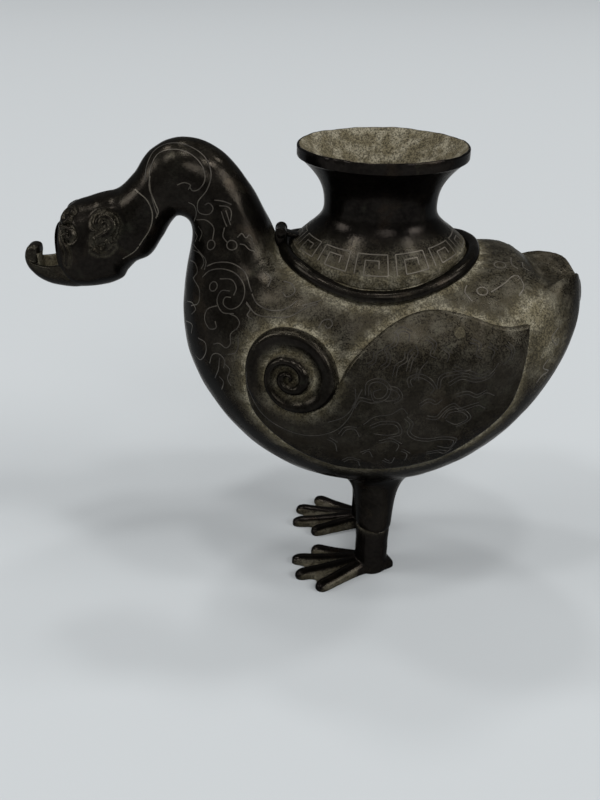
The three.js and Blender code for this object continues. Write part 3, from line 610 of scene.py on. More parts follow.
def piece(node_name, bm, body="duck", wire=False):
    """Finishes a mesh as the piece that stands for a CAD node."""
    bmesh.ops.scale(bm, vec=(MM, MM, MM), verts=bm.verts[:])
    obj = as_object(bm, ("silver_" if wire else "bronze_") + node_name)
    bm.free()
    obj.data.shade_smooth()
    obj.data.set_sharp_from_angle(angle=math.radians(SHARP))
    obj.data.materials.append(SILVER if wire else BRONZE)
    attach(obj, body)
    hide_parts(node_name)


# Body: the hollow shell, with a dished tail between two ridges
TAIL_RIDGE = spline(
    [(54, 33), (60, 30), (67, 25), (74, 17.3), (81, 11), (84.5, 7), (86.8, 2.8), (88, 0.6)], 16
)
TAIL_DISH = spline(
    [
        (52, 0), (60, 0), (66, 0.2), (70, 1.5), (74, 4.8),
        (78, 6.6), (82, 5.2), (85.5, 1.8), (87.5, 0), (90, 0),
    ],
    16,
)
TAIL_LIFT = spline(
    [(60, 0), (66, 0.1), (70, 0.3), (75, 0.8), (80, 1.6), (84, 2.2), (86.5, 1.3), (88.5, 0)], 16
)
RIDGE_WIDTH = 3.2
DISH_LOW, DISH_FADE = 96, 6  # the tail is as drawn below this height, and dished in full so far above it
RUMP_X, RUMP_RISE, RUMP_LENGTH, RUMP_SPREAD = 66, 3.0, 8.5, 26
TAIL_STATION = 4  # the rings lie closer from the tail's end to here
TAIL_BULGE = (0.5, 0, 0.1)
CHAMBER_END = 3.7


def dished(points):
    """Sinks the tail's top between the ridges that run back from the wings' tips, and fills out the rump."""
    x, y, z = points[..., 0], points[..., 1], points[..., 2]
    ridge = read(TAIL_RIDGE, x)
    between = np.clip(1 - (y / ridge) ** 2, 0, 1)
    crest = np.exp(-(((np.abs(y) - ridge) / RIDGE_WIDTH) ** 2))
    rump_dust_and_highlight = RUMP_RISE * np.exp(-(((x - RUMP_X) / RUMP_LENGTH) ** 2) - (y / RUMP_SPREAD) ** 4)
    change = read(TAIL_LIFT, x) * crest + rump_dust_and_highlight - read(TAIL_DISH, x) * between
    out = points.copy()
    out[..., 2] = z + change * smooth((z - DISH_LOW) / DISH_FADE)
    return out


def body_mesh():
    tail = np.linspace(0, TAIL_STATION, TAIL_RINGS)
    rest = np.linspace(TAIL_STATION, BODY_SEAM, BODY_RINGS)[1:]
    outer = dished(uneven(rings(np.concatenate([tail, rest]), 0)))
    end = list(reversed(domed(outer[0], TAIL_BULGE)))
    inner = rings(np.linspace(BODY_SEAM, CHAMBER_END, BORE_RINGS), BODY_WALL)
    return outward(loft(end + list(outer) + list(inner) + [drawn_in(inner[-1], 0)]))


body = body_mesh()
body_tree = BVHTree.FromBMesh(body)


def back_height(x, y):
    return body_tree.ray_cast(Vector((x, y, 2 * BACK_TOP)), DOWN)[0].z


def belly_height(x, y):
    return body_tree.ray_cast(Vector((x, y, -LEG_HEIGHT)), UP)[0].z


THIGH_SPREAD = 13  # how far the thigh's fillet runs out on the belly
THIGH_SIDES = 72
THIGH_END = (0.4, 1.1)  # out and up from the seam to where the thigh's rounded end is widest
THIGH_RISE = (0.6, 9.0)
FILLET_PULL = 6.5
THIGH_ROOT = 1.4  # how far the thigh runs into the belly
SEAM_WAVE = 0.2


def thigh(side):
    """A thigh that runs out into the belly, with a rounded end over the leg's seam."""
    centre = np.array((LEG_X, side * LEG_SPREAD / 2))
    columns = []
    for angle in np.linspace(0, math.tau, THIGH_SIDES + 1):
        out = np.array((math.cos(angle), math.sin(angle)))
        on_belly = [(r, belly_height(*(centre + out * r))) for r in (THIGH_SPREAD - 1, THIGH_SPREAD)]
        near, edge = np.array(on_belly)
        slope = (edge - near) / np.linalg.norm(edge - near)
        seam = SEAM_HEIGHT - SEAM_FALL * SEAM_RADIUS * math.cos(angle) + SEAM_WAVE * math.sin(2 * angle + 1)
        start = np.array((SEAM_RADIUS, seam)) + THIGH_END
        curve = bezier((start, start + THIGH_RISE, edge - slope * FILLET_PULL, edge), 18)
        low = [(0, SEAM_HEIGHT), (SEAM_RADIUS - 0.7, seam), (SEAM_RADIUS + 0.05, seam + 0.3)]
        high = [edge + (-0.6, 1.0), (6, edge[1] + THIGH_ROOT), (0, belly_height(*centre) + THIGH_ROOT)]
        profile = np.vstack([low, curve, high])
        columns.append(np.hstack([centre + out * profile[:, :1], profile[:, 1:]]))
    return outward(loft(np.swapaxes(np.array(columns), 0, 1)))


for side in (-1, 1):
    joined(body, thigh(side), "UNION")
HOLE_STEPS = 96
hole_radius = FOOT_RADIUS - TRUMPET_WALL - FILLING_LEDGE
joined(body, rod(hole_radius, BACK_TOP - BODY_HEIGHT / 2, RIM_TOP, MOUTH_X, 0, HOLE_STEPS), "DIFFERENCE")

# Neck: a hollow arch
neck_outer = uneven(rings(np.linspace(BODY_SEAM, HEAD_SEAM, NECK_RINGS), 0))
neck_inner = rings(np.linspace(HEAD_SEAM, BODY_SEAM, NECK_BORE_RINGS), NECK_WALL)
neck = outward(loft(list(neck_outer) + list(neck_inner) + [neck_outer[0]]))
neck_tree = BVHTree.FromBMesh(neck)

# Head: cheeks and a forehead with raised curls
# Strokes: a line on the left cheek, how far it stands out, how wide it is, and the furrow beside it
RELIEF = [
    ([(-62.0, -10.5, 124.3), (-61.3, -9.7, 125.5), (-59.7, -9.7, 126.0), (-58.2, -10.3, 125.1),
      (-57.6, -10.9, 123.6), (-58.4, -11.5, 122.1), (-60.1, -12.0, 120.9),
      (-62.4, -12.3, 119.5)], 0.55, 0.95, 0.4),
    ([(-61.0, -10.8, 123.9), (-60.3, -10.4, 124.7), (-59.2, -10.6, 124.4),
      (-59.0, -11.1, 123.4)], 0.2, 0.35, 0.15),
    ([(-61.0, -8.8, 126.7), (-58.9, -9.0, 127.0), (-56.7, -9.8, 126.0), (-55.9, -10.6, 124.1),
      (-56.4, -11.3, 121.8), (-57.4, -11.8, 119.9)], 0.14, 0.4, 0.08),
    ([(-62.5, -12.6, 117.8), (-61.8, -12.4, 119.1), (-60.3, -12.3, 119.4), (-59.4, -12.3, 118.4),
      (-59.8, -12.4, 117.0), (-61.3, -12.7, 116.4), (-62.0, -12.7, 117.2)], 0.18, 0.4, 0.1),
    ([(-64.0, -12.8, 116.1), (-61.9, -12.7, 115.3), (-59.2, -12.3, 115.7),
      (-57.5, -11.9, 117.4)], 0.1, 0.4, 0.06),
    ([(-70.1, -5.9, 125.7), (-71.3, -4.0, 126.4), (-72.8, -3.2, 125.6), (-73.8, -4.4, 124.2),
      (-73.2, -6.4, 123.2), (-72.2, -7.4, 123.3), (-71.2, -7.3, 124.1),
      (-72.0, -5.7, 124.7)], 0.6, 0.6, 0.4),
    ([(-73.3, -8.1, 121.8), (-71.7, -9.0, 122.2), (-70.3, -10.2, 121.7), (-70.0, -10.9, 120.5),
      (-71.0, -11.1, 119.6), (-71.9, -10.4, 120.0), (-71.6, -10.1, 120.8)], 0.65, 0.6, 0.45),
    ([(-73.3, -8.1, 121.8), (-73.6, -9.1, 120.3), (-72.9, -10.6, 118.5), (-72.2, -11.6, 116.6),
      (-71.8, -12.2, 114.5), (-72.3, -11.9, 111.9)], 0.3, 0.5, 0.25),
]
STROKE_FOOT = 0.3  # share of a stroke's height at which its side ends
FURROW_PLACE, FURROW_SPREAD = 2.1, 0.8  # in widths of the stroke
FURROW_FREE = 0.1  # a furrow isn't cut where another stroke stands higher than this
FURROW_DUST, DUST_PLACE, DUST_SPREAD = 0.1, 1.9, 1.3
FACE_BULGE = 1.2
FACE_LIFT = 4.5
BROW_RISE = 0.8
BROW_START, BROW_RUN = 0.4, 1.2  # in stations from the seam
BROW_WIDTH = 0.7
JAW_STEP = 0.7  # how far the jaw stands out below the neck
JAW_STATION = HEAD_SEAM + 1.55
JAW_RISE, JAW_HOLD, JAW_FADE = 0.35, 0.3, 2.2  # in stations: the step comes, stays and goes
JAW_LOW = 0.6  # share of the way down the cheek where the step starts


def head_mesh():
    stations = np.linspace(HEAD_SEAM, FACE, HEAD_RINGS)
    outer = uneven(rings(stations, 0))
    turn = np.linspace(0, math.tau, SIDES + 1)
    below = smooth(((1 - np.cos(turn)) / 2 - JAW_LOW) / (1 - JAW_LOW))
    past = stations - JAW_STATION
    step = JAW_STEP * smooth(past / JAW_RISE) * (1 - smooth((past - JAW_HOLD) / JAW_FADE))
    away = outer - outer.mean(axis=1, keepdims=True)
    away /= np.linalg.norm(away, axis=-1, keepdims=True)
    outer = outer + away * (step[:, None] * below[None, :])[..., None]
    brow = BROW_RISE * smooth((stations - HEAD_SEAM - BROW_START) / BROW_RUN)
    outer[..., 2] += brow[:, None] * smooth(np.cos(turn) / BROW_WIDTH)[None, :]
    front = domed(outer[-1], (-FACE_BULGE, 0, FACE_LIFT), FACE_RINGS)
    inner = rings(np.linspace(FACE - 1, HEAD_SEAM, BORE_RINGS), HEAD_WALL)
    return outward(loft([drawn_in(inner[0], 0)] + list(inner) + list(outer) + front))


head = head_mesh()
head_tree = BVHTree.FromBMesh(head)


def carve_relief(bm):
    """Raises the strokes on both cheeks and marks the furrows between them as dusty."""
    layer = bm.verts.layers.float.new("dust_and_light")
    bm.normal_update()
    verts = bm.verts[:]
    folded = np.array([(v.co.x, -abs(v.co.y), v.co.z) for v in verts])
    rise = np.zeros(len(verts))
    dust_and_light = np.zeros(len(verts))
    for line, height, width, furrow in RELIEF:
        snapped = np.array([head_tree.find_nearest(Vector(p))[0] for p in spline(line, 8)])
        away = nearest_on(snapped, folded)[1] / width
        crest = height * np.exp(-(away**3))
        trough = furrow * np.exp(-(((away - FURROW_PLACE) / FURROW_SPREAD) ** 2))
        cut = rise - trough * (rise < FURROW_FREE)
        rise = np.where(crest > STROKE_FOOT * height, np.maximum(rise, crest), cut)
        dust_and_light = np.maximum(dust_and_light, FURROW_DUST * np.exp(-(((away - DUST_PLACE) / DUST_SPREAD) ** 2)))
    for vert, up, amount in zip(verts, rise, dust_and_light):
        vert.co += vert.normal * float(up)
        vert[layer] = float(amount)


carve_relief(head)
spout_at = (FACE_X + 2 * HEAD_WALL - HEAD_LENGTH, 0, CHIN_Z + BILL_WALL + SEAT + SPOUT_HOLE_RADIUS)
spout = placed(rod(SPOUT_HOLE_RADIUS, -HEAD_LENGTH, HEAD_LENGTH), Matrix.Rotation(QUARTER, 3, "Y"), spout_at)
joined(head, spout, "DIFFERENCE")

# Bill: an open trough with an upturned lip
BILL_SIDES = 48
BILL_CELL = 0.22
BILL_SMOOTHING = 8
BILL_FORM = [  # along x: half width, height of the wall's edge, height of the underside
    (-69.5, 11.7, 112.2, 101.6),
    (-72.0, 11.3, 111.8, 101.3),
    (-74.5, 10.3, 111.0, 101.3),
    (-77.0, 8.9, 109.7, 101.5),
    (-80.0, 7.3, 108.9, 101.9),
    (-83.0, 5.8, 108.8, 103.0),
    (-85.3, 4.7, 109.2, 104.6),
    (-87.0, 3.9, 110.2, 106.8),
]
LIP = [  # x and z round the upturned lip
    (-83.2, 104.6), (-85.8, 105.5), (-87.4, 107.6), (-88.0, 110.3), (-87.5, 112.7), (-86.4, 114.2),
    (-84.8, 114.6), (-83.3, 114.0), (-83.0, 112.4), (-83.4, 110.0), (-83.0, 107.4),
]
LIP_HALF = 3.5
LIP_EASE = 1.7
HULL_FULLNESS = 0.8  # below 1 the hull's section is fuller than an ellipse
EDGE_ROUND = 0.4
WALL_TRIM = 0.2  # the trough's walls are so much thinner than its floor


def bill_rings(wall, floor, above):
    """Rings of the bill's hull, drawn in by a wall at the sides and a floor below."""
    made = []
    angle = np.linspace(0, math.tau, BILL_SIDES + 1)
    for x, half, edge, under in spline(BILL_FORM, 5):
        y = (half - wall) * np.sign(np.cos(angle)) * np.abs(np.cos(angle)) ** HULL_FULLNESS
        depth = np.where(np.sin(angle) < 0, edge - under - floor, above)
        made.append(np.stack([np.full_like(y, x), y, edge + depth * np.sin(angle)], -1))
    return made


bill = closed_loft(bill_rings(0, 0, EDGE_ROUND))
joined(bill, closed_loft(bill_rings(BILL_WALL - WALL_TRIM, BILL_WALL, 3 * BILL_DEPTH)), "DIFFERENCE")
joined(bill, slab(spline(LIP, 3), -LIP_HALF, LIP_HALF, LIP_EASE), "UNION")
fused(bill, BILL_CELL, BILL_SMOOTHING)

# Trumpet mouth: a turned funnel whose foot is bent down to the saddle of the back
funnel_curve = bezier(
    (
        (RIM_RADIUS - RIM_STEP, RIM_TOP - RIM_BAND),
        (THROAT_RADIUS + 2.2, RIM_TOP - RIM_BAND - 5.2),
        (THROAT_RADIUS, THROAT + 6),
        (THROAT_RADIUS, THROAT),
    ),
    24,
)
foot_curve = bezier(
    (
        (THROAT_RADIUS, THROAT),
        (THROAT_RADIUS, THROAT - 4.2),
        (FOOT_RADIUS - 6.6, FOOT_TOP + 4.4),
        (FOOT_RADIUS, FOOT_TOP),
    ),
    28,
)
bowl_curve = bezier(
    (
        (THROAT_RADIUS - TRUMPET_WALL, THROAT),
        (THROAT_RADIUS - TRUMPET_WALL, THROAT + 8),
        (RIM_RADIUS - 4.2, RIM_TOP - 4.6),
        (RIM_RADIUS - 0.95, RIM_TOP - 0.1),
    ),
    24,
)
TRUMPET_STEPS = 192
RIM_DENTS = [(0.1, 5, 1), (0.08, 11, 0), (0.04, 27, 2)]
RIM_WEAR = 0.1


def trumpet_profile():
    outer = np.vstack([funnel_curve, foot_curve[1:]])
    under = (foot_curve - (TRUMPET_WALL, 0))[::-1]
    rim = [
        (RIM_RADIUS - 0.6, RIM_TOP),
        (RIM_RADIUS - 0.25, RIM_TOP - 0.05),
        (RIM_RADIUS, RIM_TOP - 0.35),
        (RIM_RADIUS, RIM_TOP - RIM_BAND / 2),
        (RIM_RADIUS, RIM_TOP - RIM_BAND + 0.35),
        (RIM_RADIUS - 0.12, RIM_TOP - RIM_BAND + 0.1),
    ]
    foot = [
        (FOOT_RADIUS, FOOT_TOP - 0.4),
        (FOOT_RADIUS, BACK_TOP + 0.1),
        (FOOT_RADIUS - TRUMPET_WALL, BACK_TOP + 0.1),
    ]
    return np.vstack([rim, outer, foot, under[:-1], bowl_curve])


def saddled(point):
    """Bends a point of the turned funnel down to the back, the more so the nearer it is to the foot."""
    share = min(1.0, max(0.0, (THROAT - point.z) / THROAT_RISE))
    if share > 0:
        drop = BACK_TOP - back_height(point.x, point.y) - SEAT
        point = Vector((point.x, point.y, point.z - share**SADDLE_BEND * drop))
    return point


def worn_rim(point):
    """The rim's top edge is a little dented."""
    dent = ripple(math.atan2(point.y, point.x - MOUTH_X), RIM_DENTS) - RIM_WEAR
    share = max(0.0, (point.z - (RIM_TOP - RIM_BAND)) / RIM_BAND)
    return point + Vector((0, 0, dent * share**2))


trumpet = turned(trumpet_profile(), MOUTH_X, 0, TRUMPET_STEPS, closed=True)
for vert in trumpet.verts:
    vert.co = saddled(worn_rim(vert.co.copy()))
trumpet.normal_update()
trumpet_tree = BVHTree.FromBMesh(trumpet)

# Collar: a bead round the trumpet's foot
COLLAR_STEPS = 160
COLLAR_SIDES = 20
BEAD_WAVES = [(0.03, 7, 0), (0.02, 17, 1)]


def collar_mesh():
    made = []
    for angle in np.linspace(0, math.tau, COLLAR_STEPS + 1):
        out = np.array((math.cos(angle), math.sin(angle), 0))
        middle = np.array((MOUTH_X, 0, 0)) + out * COLLAR_RADIUS
        middle[2] = back_height(middle[0], middle[1]) + COLLAR_PROUD
        bead = COLLAR_BEAD / 2 * (1 + ripple(angle, BEAD_WAVES))
        made.append(hoop(middle, bead * out, bead * UPRIGHT, COLLAR_SIDES))
    return outward(loft(made))


collar = collar_mesh()
collar_tree = BVHTree.FromBMesh(collar)

# Wings: a leaf-shaped plate that runs into a coil at its shoulder. Places are x and z on the left side.
WING_UPPER = [
    (66.3, 100.1), (60.5, 100.3), (55.3, 101.4), (48.0, 104.0), (38.2, 106.0), (31.5, 105.4), (25.4, 103.0),
    (19.1, 98.4), (13.8, 92.9), (10.9, 87.8),
]
WING_LOWER = [
    (-17.25, 85.9), (-16.9, 79.5), (-14.6, 72.0), (-4.4, 62.2), (9.5, 55.4), (26.5, 54.9), (41.6, 58.3),
    (52.8, 65.6), (62.0, 75.5), (65.2, 88.8), (66.3, 100.1),
]
COIL_X, COIL_Z = -3.5, 86.5
COIL_RADIUS = 13.75
COIL_ENDS = (274, 92)  # where the coil's edge leaves the plate's upper edge and meets its lower one
COIL_TURN = (0, 270, 360, 450, 540, 630, 720, 810, 900, 990, 1080)  # degrees round from below, by the left
COIL_GROOVE = (13.75, 13.75, 10.4, 7.3, 6.7, 6.2, 5.0, 3.7, 2.5, 1.4, 0.0)  # and the groove's radius there
COIL_LEAST = 0.3  # least width of the coil
CREST_TURN = (0, 90, 180, 360, 540, 720, 1080)
CREST_HEIGHT = (2.0, 2.9, 3.5, 3.7, 4.1, 4.2, 3.8)
CREST_PLACE = ((0, 300, 420), (0.3, 0.33, 0.45))  # turn, and share of the way in across the coil
GROOVE_FLOOR = ((0, 120, 360, 720, 1080), (1.0, 0.6, 0.7, 1.2, 2.0))  # turn and height
STEP_FROM, STEP_RUN = 60, 45  # the first turn's outer edge parts from the plate here, and over so much turn
STEP_INSIDE = 1.3  # height of the inner turns' outer edge
STEP_ABOVE, ABOVE_FROM = 0.9, 268  # height of the first turn's edge past the plate's upper edge, and where
OUTER_SWELL, INNER_FALL = 0.8, 1.6  # powers that make the coil's outer side full and its inner one slack
COIL_RISEN = 85  # turn by which the coil has risen out of the plate
LEAF_FROM, LEAF_TO = 262, 100  # turns between which the plate lies against the coil, by way of 0
VALLEY_SHARE, VALLEY = 0.35, 1.6  # of the plate's height beside the coil, and how wide the valley is
PLATE_HIGH = 1.9  # how far the plate stands out at its upper edge
PLATE_LOW = 0.75
PLATE_FOOT, PLATE_RUN = 57, 38  # height at which it starts to thicken, and over how much
PLATE_EDGE = 1.1
CROWN_RISE, CROWN_REACH = 0.7, 14
WING_CELL = 0.36
WING_SINK = 0.3
EDGE_SINK = 0.1
EDGE_CATCH = 0.45  # cells: a point so near outside the outline still belongs to the wing
EVENED_CELLS, EVENING = 6, 12  # cells in from the edge that are evened out, and how often
SKIN_REACH = 1.2  # the body's slope is taken between points so far to each side
GROOVE_DUST, GROOVE_SPREAD = 0.85, 0.22  # the spread is a share of the coil's width
STEP_DUST, STEP_SPREAD = 0.6, 0.12
CURL_FROM, CURL_RUN = 20, 70  # turn from which the groove takes dust over from the valley, and over how much
VALLEY_DUST, VALLEY_END = 0.75, 9
RIM_DUST, RIM_DUST_REACH = 0.3, 0.8


def wing_outline():
    turn = np.radians(np.linspace(*COIL_ENDS, 70))
    coil = np.stack([COIL_X - COIL_RADIUS * np.sin(turn), COIL_Z - COIL_RADIUS * np.cos(turn)], -1)
    return np.vstack([spline(WING_UPPER, 14)[:-1], coil, spline(WING_LOWER, 14)[1:]])


OUTLINE = wing_outline()


def within(points):
    """Whether each point is inside the wing's outline."""
    x, z = points.T
    inside = np.zeros(len(points), bool)
    for (x0, z0), (x1, z1) in zip(OUTLINE, OUTLINE[1:]):
        if z0 != z1:
            crosses = (z0 > z) != (z1 > z)
            inside ^= crosses & (x < x0 + (z - z0) / (z1 - z0) * (x1 - x0))
    return inside


def groove(turn):
    return np.interp(turn, COIL_TURN, COIL_GROOVE)


def quarter(share):
    """An angle from nothing to a right angle for a share from 0 to 1."""
    return QUARTER * np.clip(share, 0, 1)


def plate_height(z, edge):
    """How far the leaf stands out: more at its upper edge and its middle, with a rounded edge."""
    thick = PLATE_LOW + (PLATE_HIGH - PLATE_LOW) * smooth((z - PLATE_FOOT) / PLATE_RUN)
    crown = CROWN_RISE * smooth(edge / CROWN_REACH)
    rounding = np.sqrt(np.clip(1 - (1 - np.clip(edge / PLATE_EDGE, 0, 1)) ** 2, 0, 1))
    return (thick + crown) * rounding


def wing_relief(points, edge):
    """How far the wing stands out of the body at each place, and how dusty it is there."""
    dx, dz = points[:, 0] - COIL_X, points[:, 1] - COIL_Z
    radius = np.hypot(dx, dz)
    turn = np.degrees(np.arctan2(-dx, -dz)) % 360
    turns = np.zeros(len(points))
    for k in (1, 2):
        turns = np.where(radius < groove(turn + 360 * k), k, turns)
    first, in_coil = turns == 0, radius <= groove(turn)
    by_coil = (turn > LEAF_FROM) | (turn < LEAF_TO)
    from_coil = radius - groove(np.where(turn > 180, turn, turn + 360))
    at = turn + 360 * turns
    outer, inner = groove(at), groove(at + 360)
    across = np.clip((outer - radius) / np.maximum(outer - inner, COIL_LEAST), 0, 1)

    plate = plate_height(points[:, 1], edge)
    crest = np.interp(at, CREST_TURN, CREST_HEIGHT)
    crest_at = np.interp(at, *CREST_PLACE)
    start = np.where(first, plate * (1 - smooth((turn - STEP_FROM) / STEP_RUN)), STEP_INSIDE)
    start = np.where(first & (turn > ABOVE_FROM), STEP_ABOVE, start)
    floor = np.interp(at, *GROOVE_FLOOR)
    rise = start + (crest - start) * np.sin(quarter(across / crest_at)) ** OUTER_SWELL
    fall = floor + (crest - floor) * np.cos(quarter((across - crest_at) / (1 - crest_at))) ** INNER_FALL
    band = np.where(across < crest_at, rise, fall)
    valley = VALLEY_SHARE + (1 - VALLEY_SHARE) * np.sin(quarter(from_coil / VALLEY))
    leaf = plate * np.where(by_coil, valley, 1)
    rising = first & in_coil & (turn < COIL_RISEN)
    height = np.where(in_coil, band, leaf)
    height = np.where(rising, leaf + (band - leaf) * smooth(turn / COIL_RISEN), height)

    step = STEP_DUST * np.exp(-((across / STEP_SPREAD) ** 2)) * (turns > 0)
    furrow = GROOVE_DUST * (np.exp(-(((1 - across) / GROOVE_SPREAD) ** 2)) + step)
    curled = np.where(first, smooth((turn - CURL_FROM) / CURL_RUN), 1)
    under_coil = VALLEY_DUST * np.exp(-np.clip(from_coil, 0, VALLEY_END) / VALLEY) * by_coil
    under_coil *= np.where(in_coil, first * (1 - curled), 1)
    dust_and_light = np.maximum(np.where(in_coil, furrow * curled, 0), under_coil)
    return height, np.maximum(dust_and_light, RIM_DUST * np.exp(-edge / RIM_DUST_REACH))


def xz_of(bm):
    return np.array([(v.co.x, v.co.z) for v in bm.verts])


def set_xz(bm, flat):
    for vert, (x, z) in zip(bm.verts, flat):
        vert.co = (x, 0, z)


def wing_grid():
    """A flat grid cut to the wing's outline, and how far each of its points is from the edge."""
    low, high = OUTLINE.min(axis=0) - WING_CELL, OUTLINE.max(axis=0) + WING_CELL
    cells = np.ceil((high - low) / WING_CELL).astype(int)
    bm = bmesh.new()
    bmesh.ops.create_grid(bm, x_segments=int(cells[0]), y_segments=int(cells[1]), size=0.5)
    points = low + (np.array([v.co[:2] for v in bm.verts]) + 0.5) * cells * WING_CELL
    set_xz(bm, points)
    kept = within(points) | (nearest_on(OUTLINE, points)[1] < EDGE_CATCH * WING_CELL)
    bmesh.ops.delete(bm, geom=[v for v, keep in zip(bm.verts[:], kept) if not keep], context="VERTS")
    bmesh.ops.delete(bm, geom=[v for v in bm.verts if not v.link_faces], context="VERTS")
    flat = xz_of(bm)
    nearest, away = nearest_on(OUTLINE, flat)
    rim = np.array([v.is_boundary for v in bm.verts])
    flat[rim] = nearest[rim]
    set_xz(bm, flat)
    loose = [v for v, d, fixed in zip(bm.verts, away, rim) if not fixed and d < EVENED_CELLS * WING_CELL]
    for _ in range(EVENING):
        bmesh.ops.smooth_vert(bm, verts=loose, factor=0.5, use_axis_x=True, use_axis_y=True, use_axis_z=True)
    return bm, rim, np.where(rim, 0, nearest_on(OUTLINE, xz_of(bm))[1])


def wing_mesh():
    bm, rim, away = wing_grid()
    flat = xz_of(bm)
    height, dust_and_light = wing_relief(flat, away)
    height = np.where(rim, -EDGE_SINK, height)
    base = np.zeros((len(flat), 3))
    normal = np.zeros((len(flat), 3))
    sides = ((0, 0), (-SKIN_REACH, 0), (SKIN_REACH, 0), (0, -SKIN_REACH), (0, SKIN_REACH))
    for i, (x, z) in enumerate(flat):
        base[i], behind, ahead, below, above = (from_left(body_tree, x + a, z + b)[0] for a, b in sides)
        normal[i] = (ahead - behind).cross(above - below).normalized()
    place = bm.verts.layers.int.new("place")
    layer = bm.verts.layers.float.new("dust_and_light")
    for i, vert in enumerate(bm.verts):
        vert[place] = i
        vert[layer] = float(dust_and_light[i])
        vert.co = base[i] - normal[i] * WING_SINK
    grown = bmesh.ops.extrude_face_region(bm, geom=bm.faces[:], use_keep_orig=True)
    for vert in grown["geom"]:
        if isinstance(vert, bmesh.types.BMVert):
            i = vert[place]
            vert.co = base[i] + normal[i] * height[i]
    bm.verts.layers.int.remove(place)
    return outward(bm)


left_wing = wing_mesh()
right_wing = mirrored(left_wing)
left_wing_tree = BVHTree.FromBMesh(left_wing)
right_wing_tree = BVHTree.FromBMesh(right_wing)

# Core plug: a round patch in the left wing
PLUG_X, PLUG_Z, PLUG_RADIUS = 44.3, 101.0, 1.75
PLUG = [
    (0, -0.6), (PLUG_RADIUS, -0.6), (PLUG_RADIUS, 0.12), (PLUG_RADIUS - 0.25, 0.32), (0.9, 0.22), (0, 0.3),
]
plug_at, plug_out = from_left(left_wing_tree, PLUG_X, PLUG_Z)
core_plug = placed(turned(PLUG), UP.rotation_difference(plug_out).to_matrix(), plug_at)

# Legs: a shank and a webbed foot of four toes
LEG_CELL = 0.33
LEG_SMOOTHING = 10
SHANK_STEPS = 48
SHANK = [
    (0, -2), (5.4, -2), (5.5, 1), (5.6, 4), (SHANK_RADIUS, 8.0), (SHANK_RADIUS - 0.1, 12),
    (SHANK_RADIUS + 0.1, 16), (SHANK_RADIUS + 0.1, SEAM_HEIGHT - 0.3),
    (SHANK_RADIUS - 0.4, SEAM_HEIGHT - 0.05), (3, SEAM_HEIGHT - 0.05),
    (3, SEAM_HEIGHT + 3), (0, SEAM_HEIGHT + 3),
]
TILT_FROM, TILT_RUN = 12, 5  # height at which the shank starts to follow the seam's fall, and over how much
TOE_FORM = [  # share of the toe's length, half width, height of its crown over the floor
    (0.0, 3.4, 5.4), (0.2, 3.0, 4.5), (0.45, 2.8, 3.7), (0.7, 2.65, 3.1), (0.86, 2.7, 2.95), (0.95, 2.3, 2.5),
    (1.0, 1.1, 1.6),
]
HEEL_FORM = [
    (0.0, 5.5, 10.5), (0.35, 5.2, 9.0), (0.55, 4.3, 6.4), (0.75, 2.8, 4.0), (0.9, 1.7, 2.6), (1.0, 0.7, 1.6),
]
TOE_SIDES = 20
TOE_SINK = 0.6  # a toe's section runs on below the floor, and is cut off level there
HEEL_OUT = 0.2
WEB_FORM = [(0.0, 5.3), (0.35, 3.7), (0.7, 2.6), (1.0, 1.6)]  # share of the way out, and the web's height
WEB_REACH = 0.78  # how far out the web's edge lies between two toes
WEB_STEPS, WEB_CURVE, WEB_CORNER = 13, 2.2, 0.85
HEEL_WEB_FROM, HEEL_WEB_REACH = 0.88, 1.02
SOLE = 0.02  # height of the cut under the foot
SHANK_FROM = 9  # height at which the foot ends
SEAM_DUST, SEAM_DUST_REACH = 0.2, 0.7
WEB_DUST = 0.3
TOE_BARE, TOE_FADE = 1.2, 1.6  # no dust lies so near a toe's line, and it comes over so much
FOOT_BARE, FOOT_FADE = 4, 3  # the same ahead of the shank


def toe_mesh(root, tip, form=TOE_FORM):
    run = tip - root
    across = np.array((-run[1], run[0], 0)) / np.hypot(run[0], run[1])
    made = []
    for share, half, crown in spline(form, 4):
        middle = root + run * share + UPRIGHT * (crown / 2 - TOE_SINK)
        made.append(hoop(middle, half * across, (crown / 2 + TOE_SINK) * UPRIGHT, TOE_SIDES))
    return closed_loft(made)


def web_mesh(root, left, right, reach=WEB_REACH):
    """The skin between two toes, thinning out to a drawn-in edge."""
    share = np.linspace(0, 1, WEB_STEPS)[:, None]
    edge = reach + (1 - reach) * np.abs(2 * share - 1) ** WEB_CURVE * WEB_CORNER
    rim = edge * ((left - root) * (1 - share) + (right - root) * share)
    made = []
    for out, height in spline(WEB_FORM, 4):
        low = root + out * rim
        top = low + UPRIGHT * height
        made.append(np.vstack([top, (low - UPRIGHT)[::-1], top[:1]]))
    return closed_loft(made)


def toes_of(side):
    """The middle of the shank and the tips of the toes on the floor."""
    y = side * LEG_SPREAD / 2
    tips = [np.array((LEG_X - ahead, y - side * aside, 0.0)) for ahead, aside in TOES]
    return np.array((LEG_X, y, 0.0)), tips


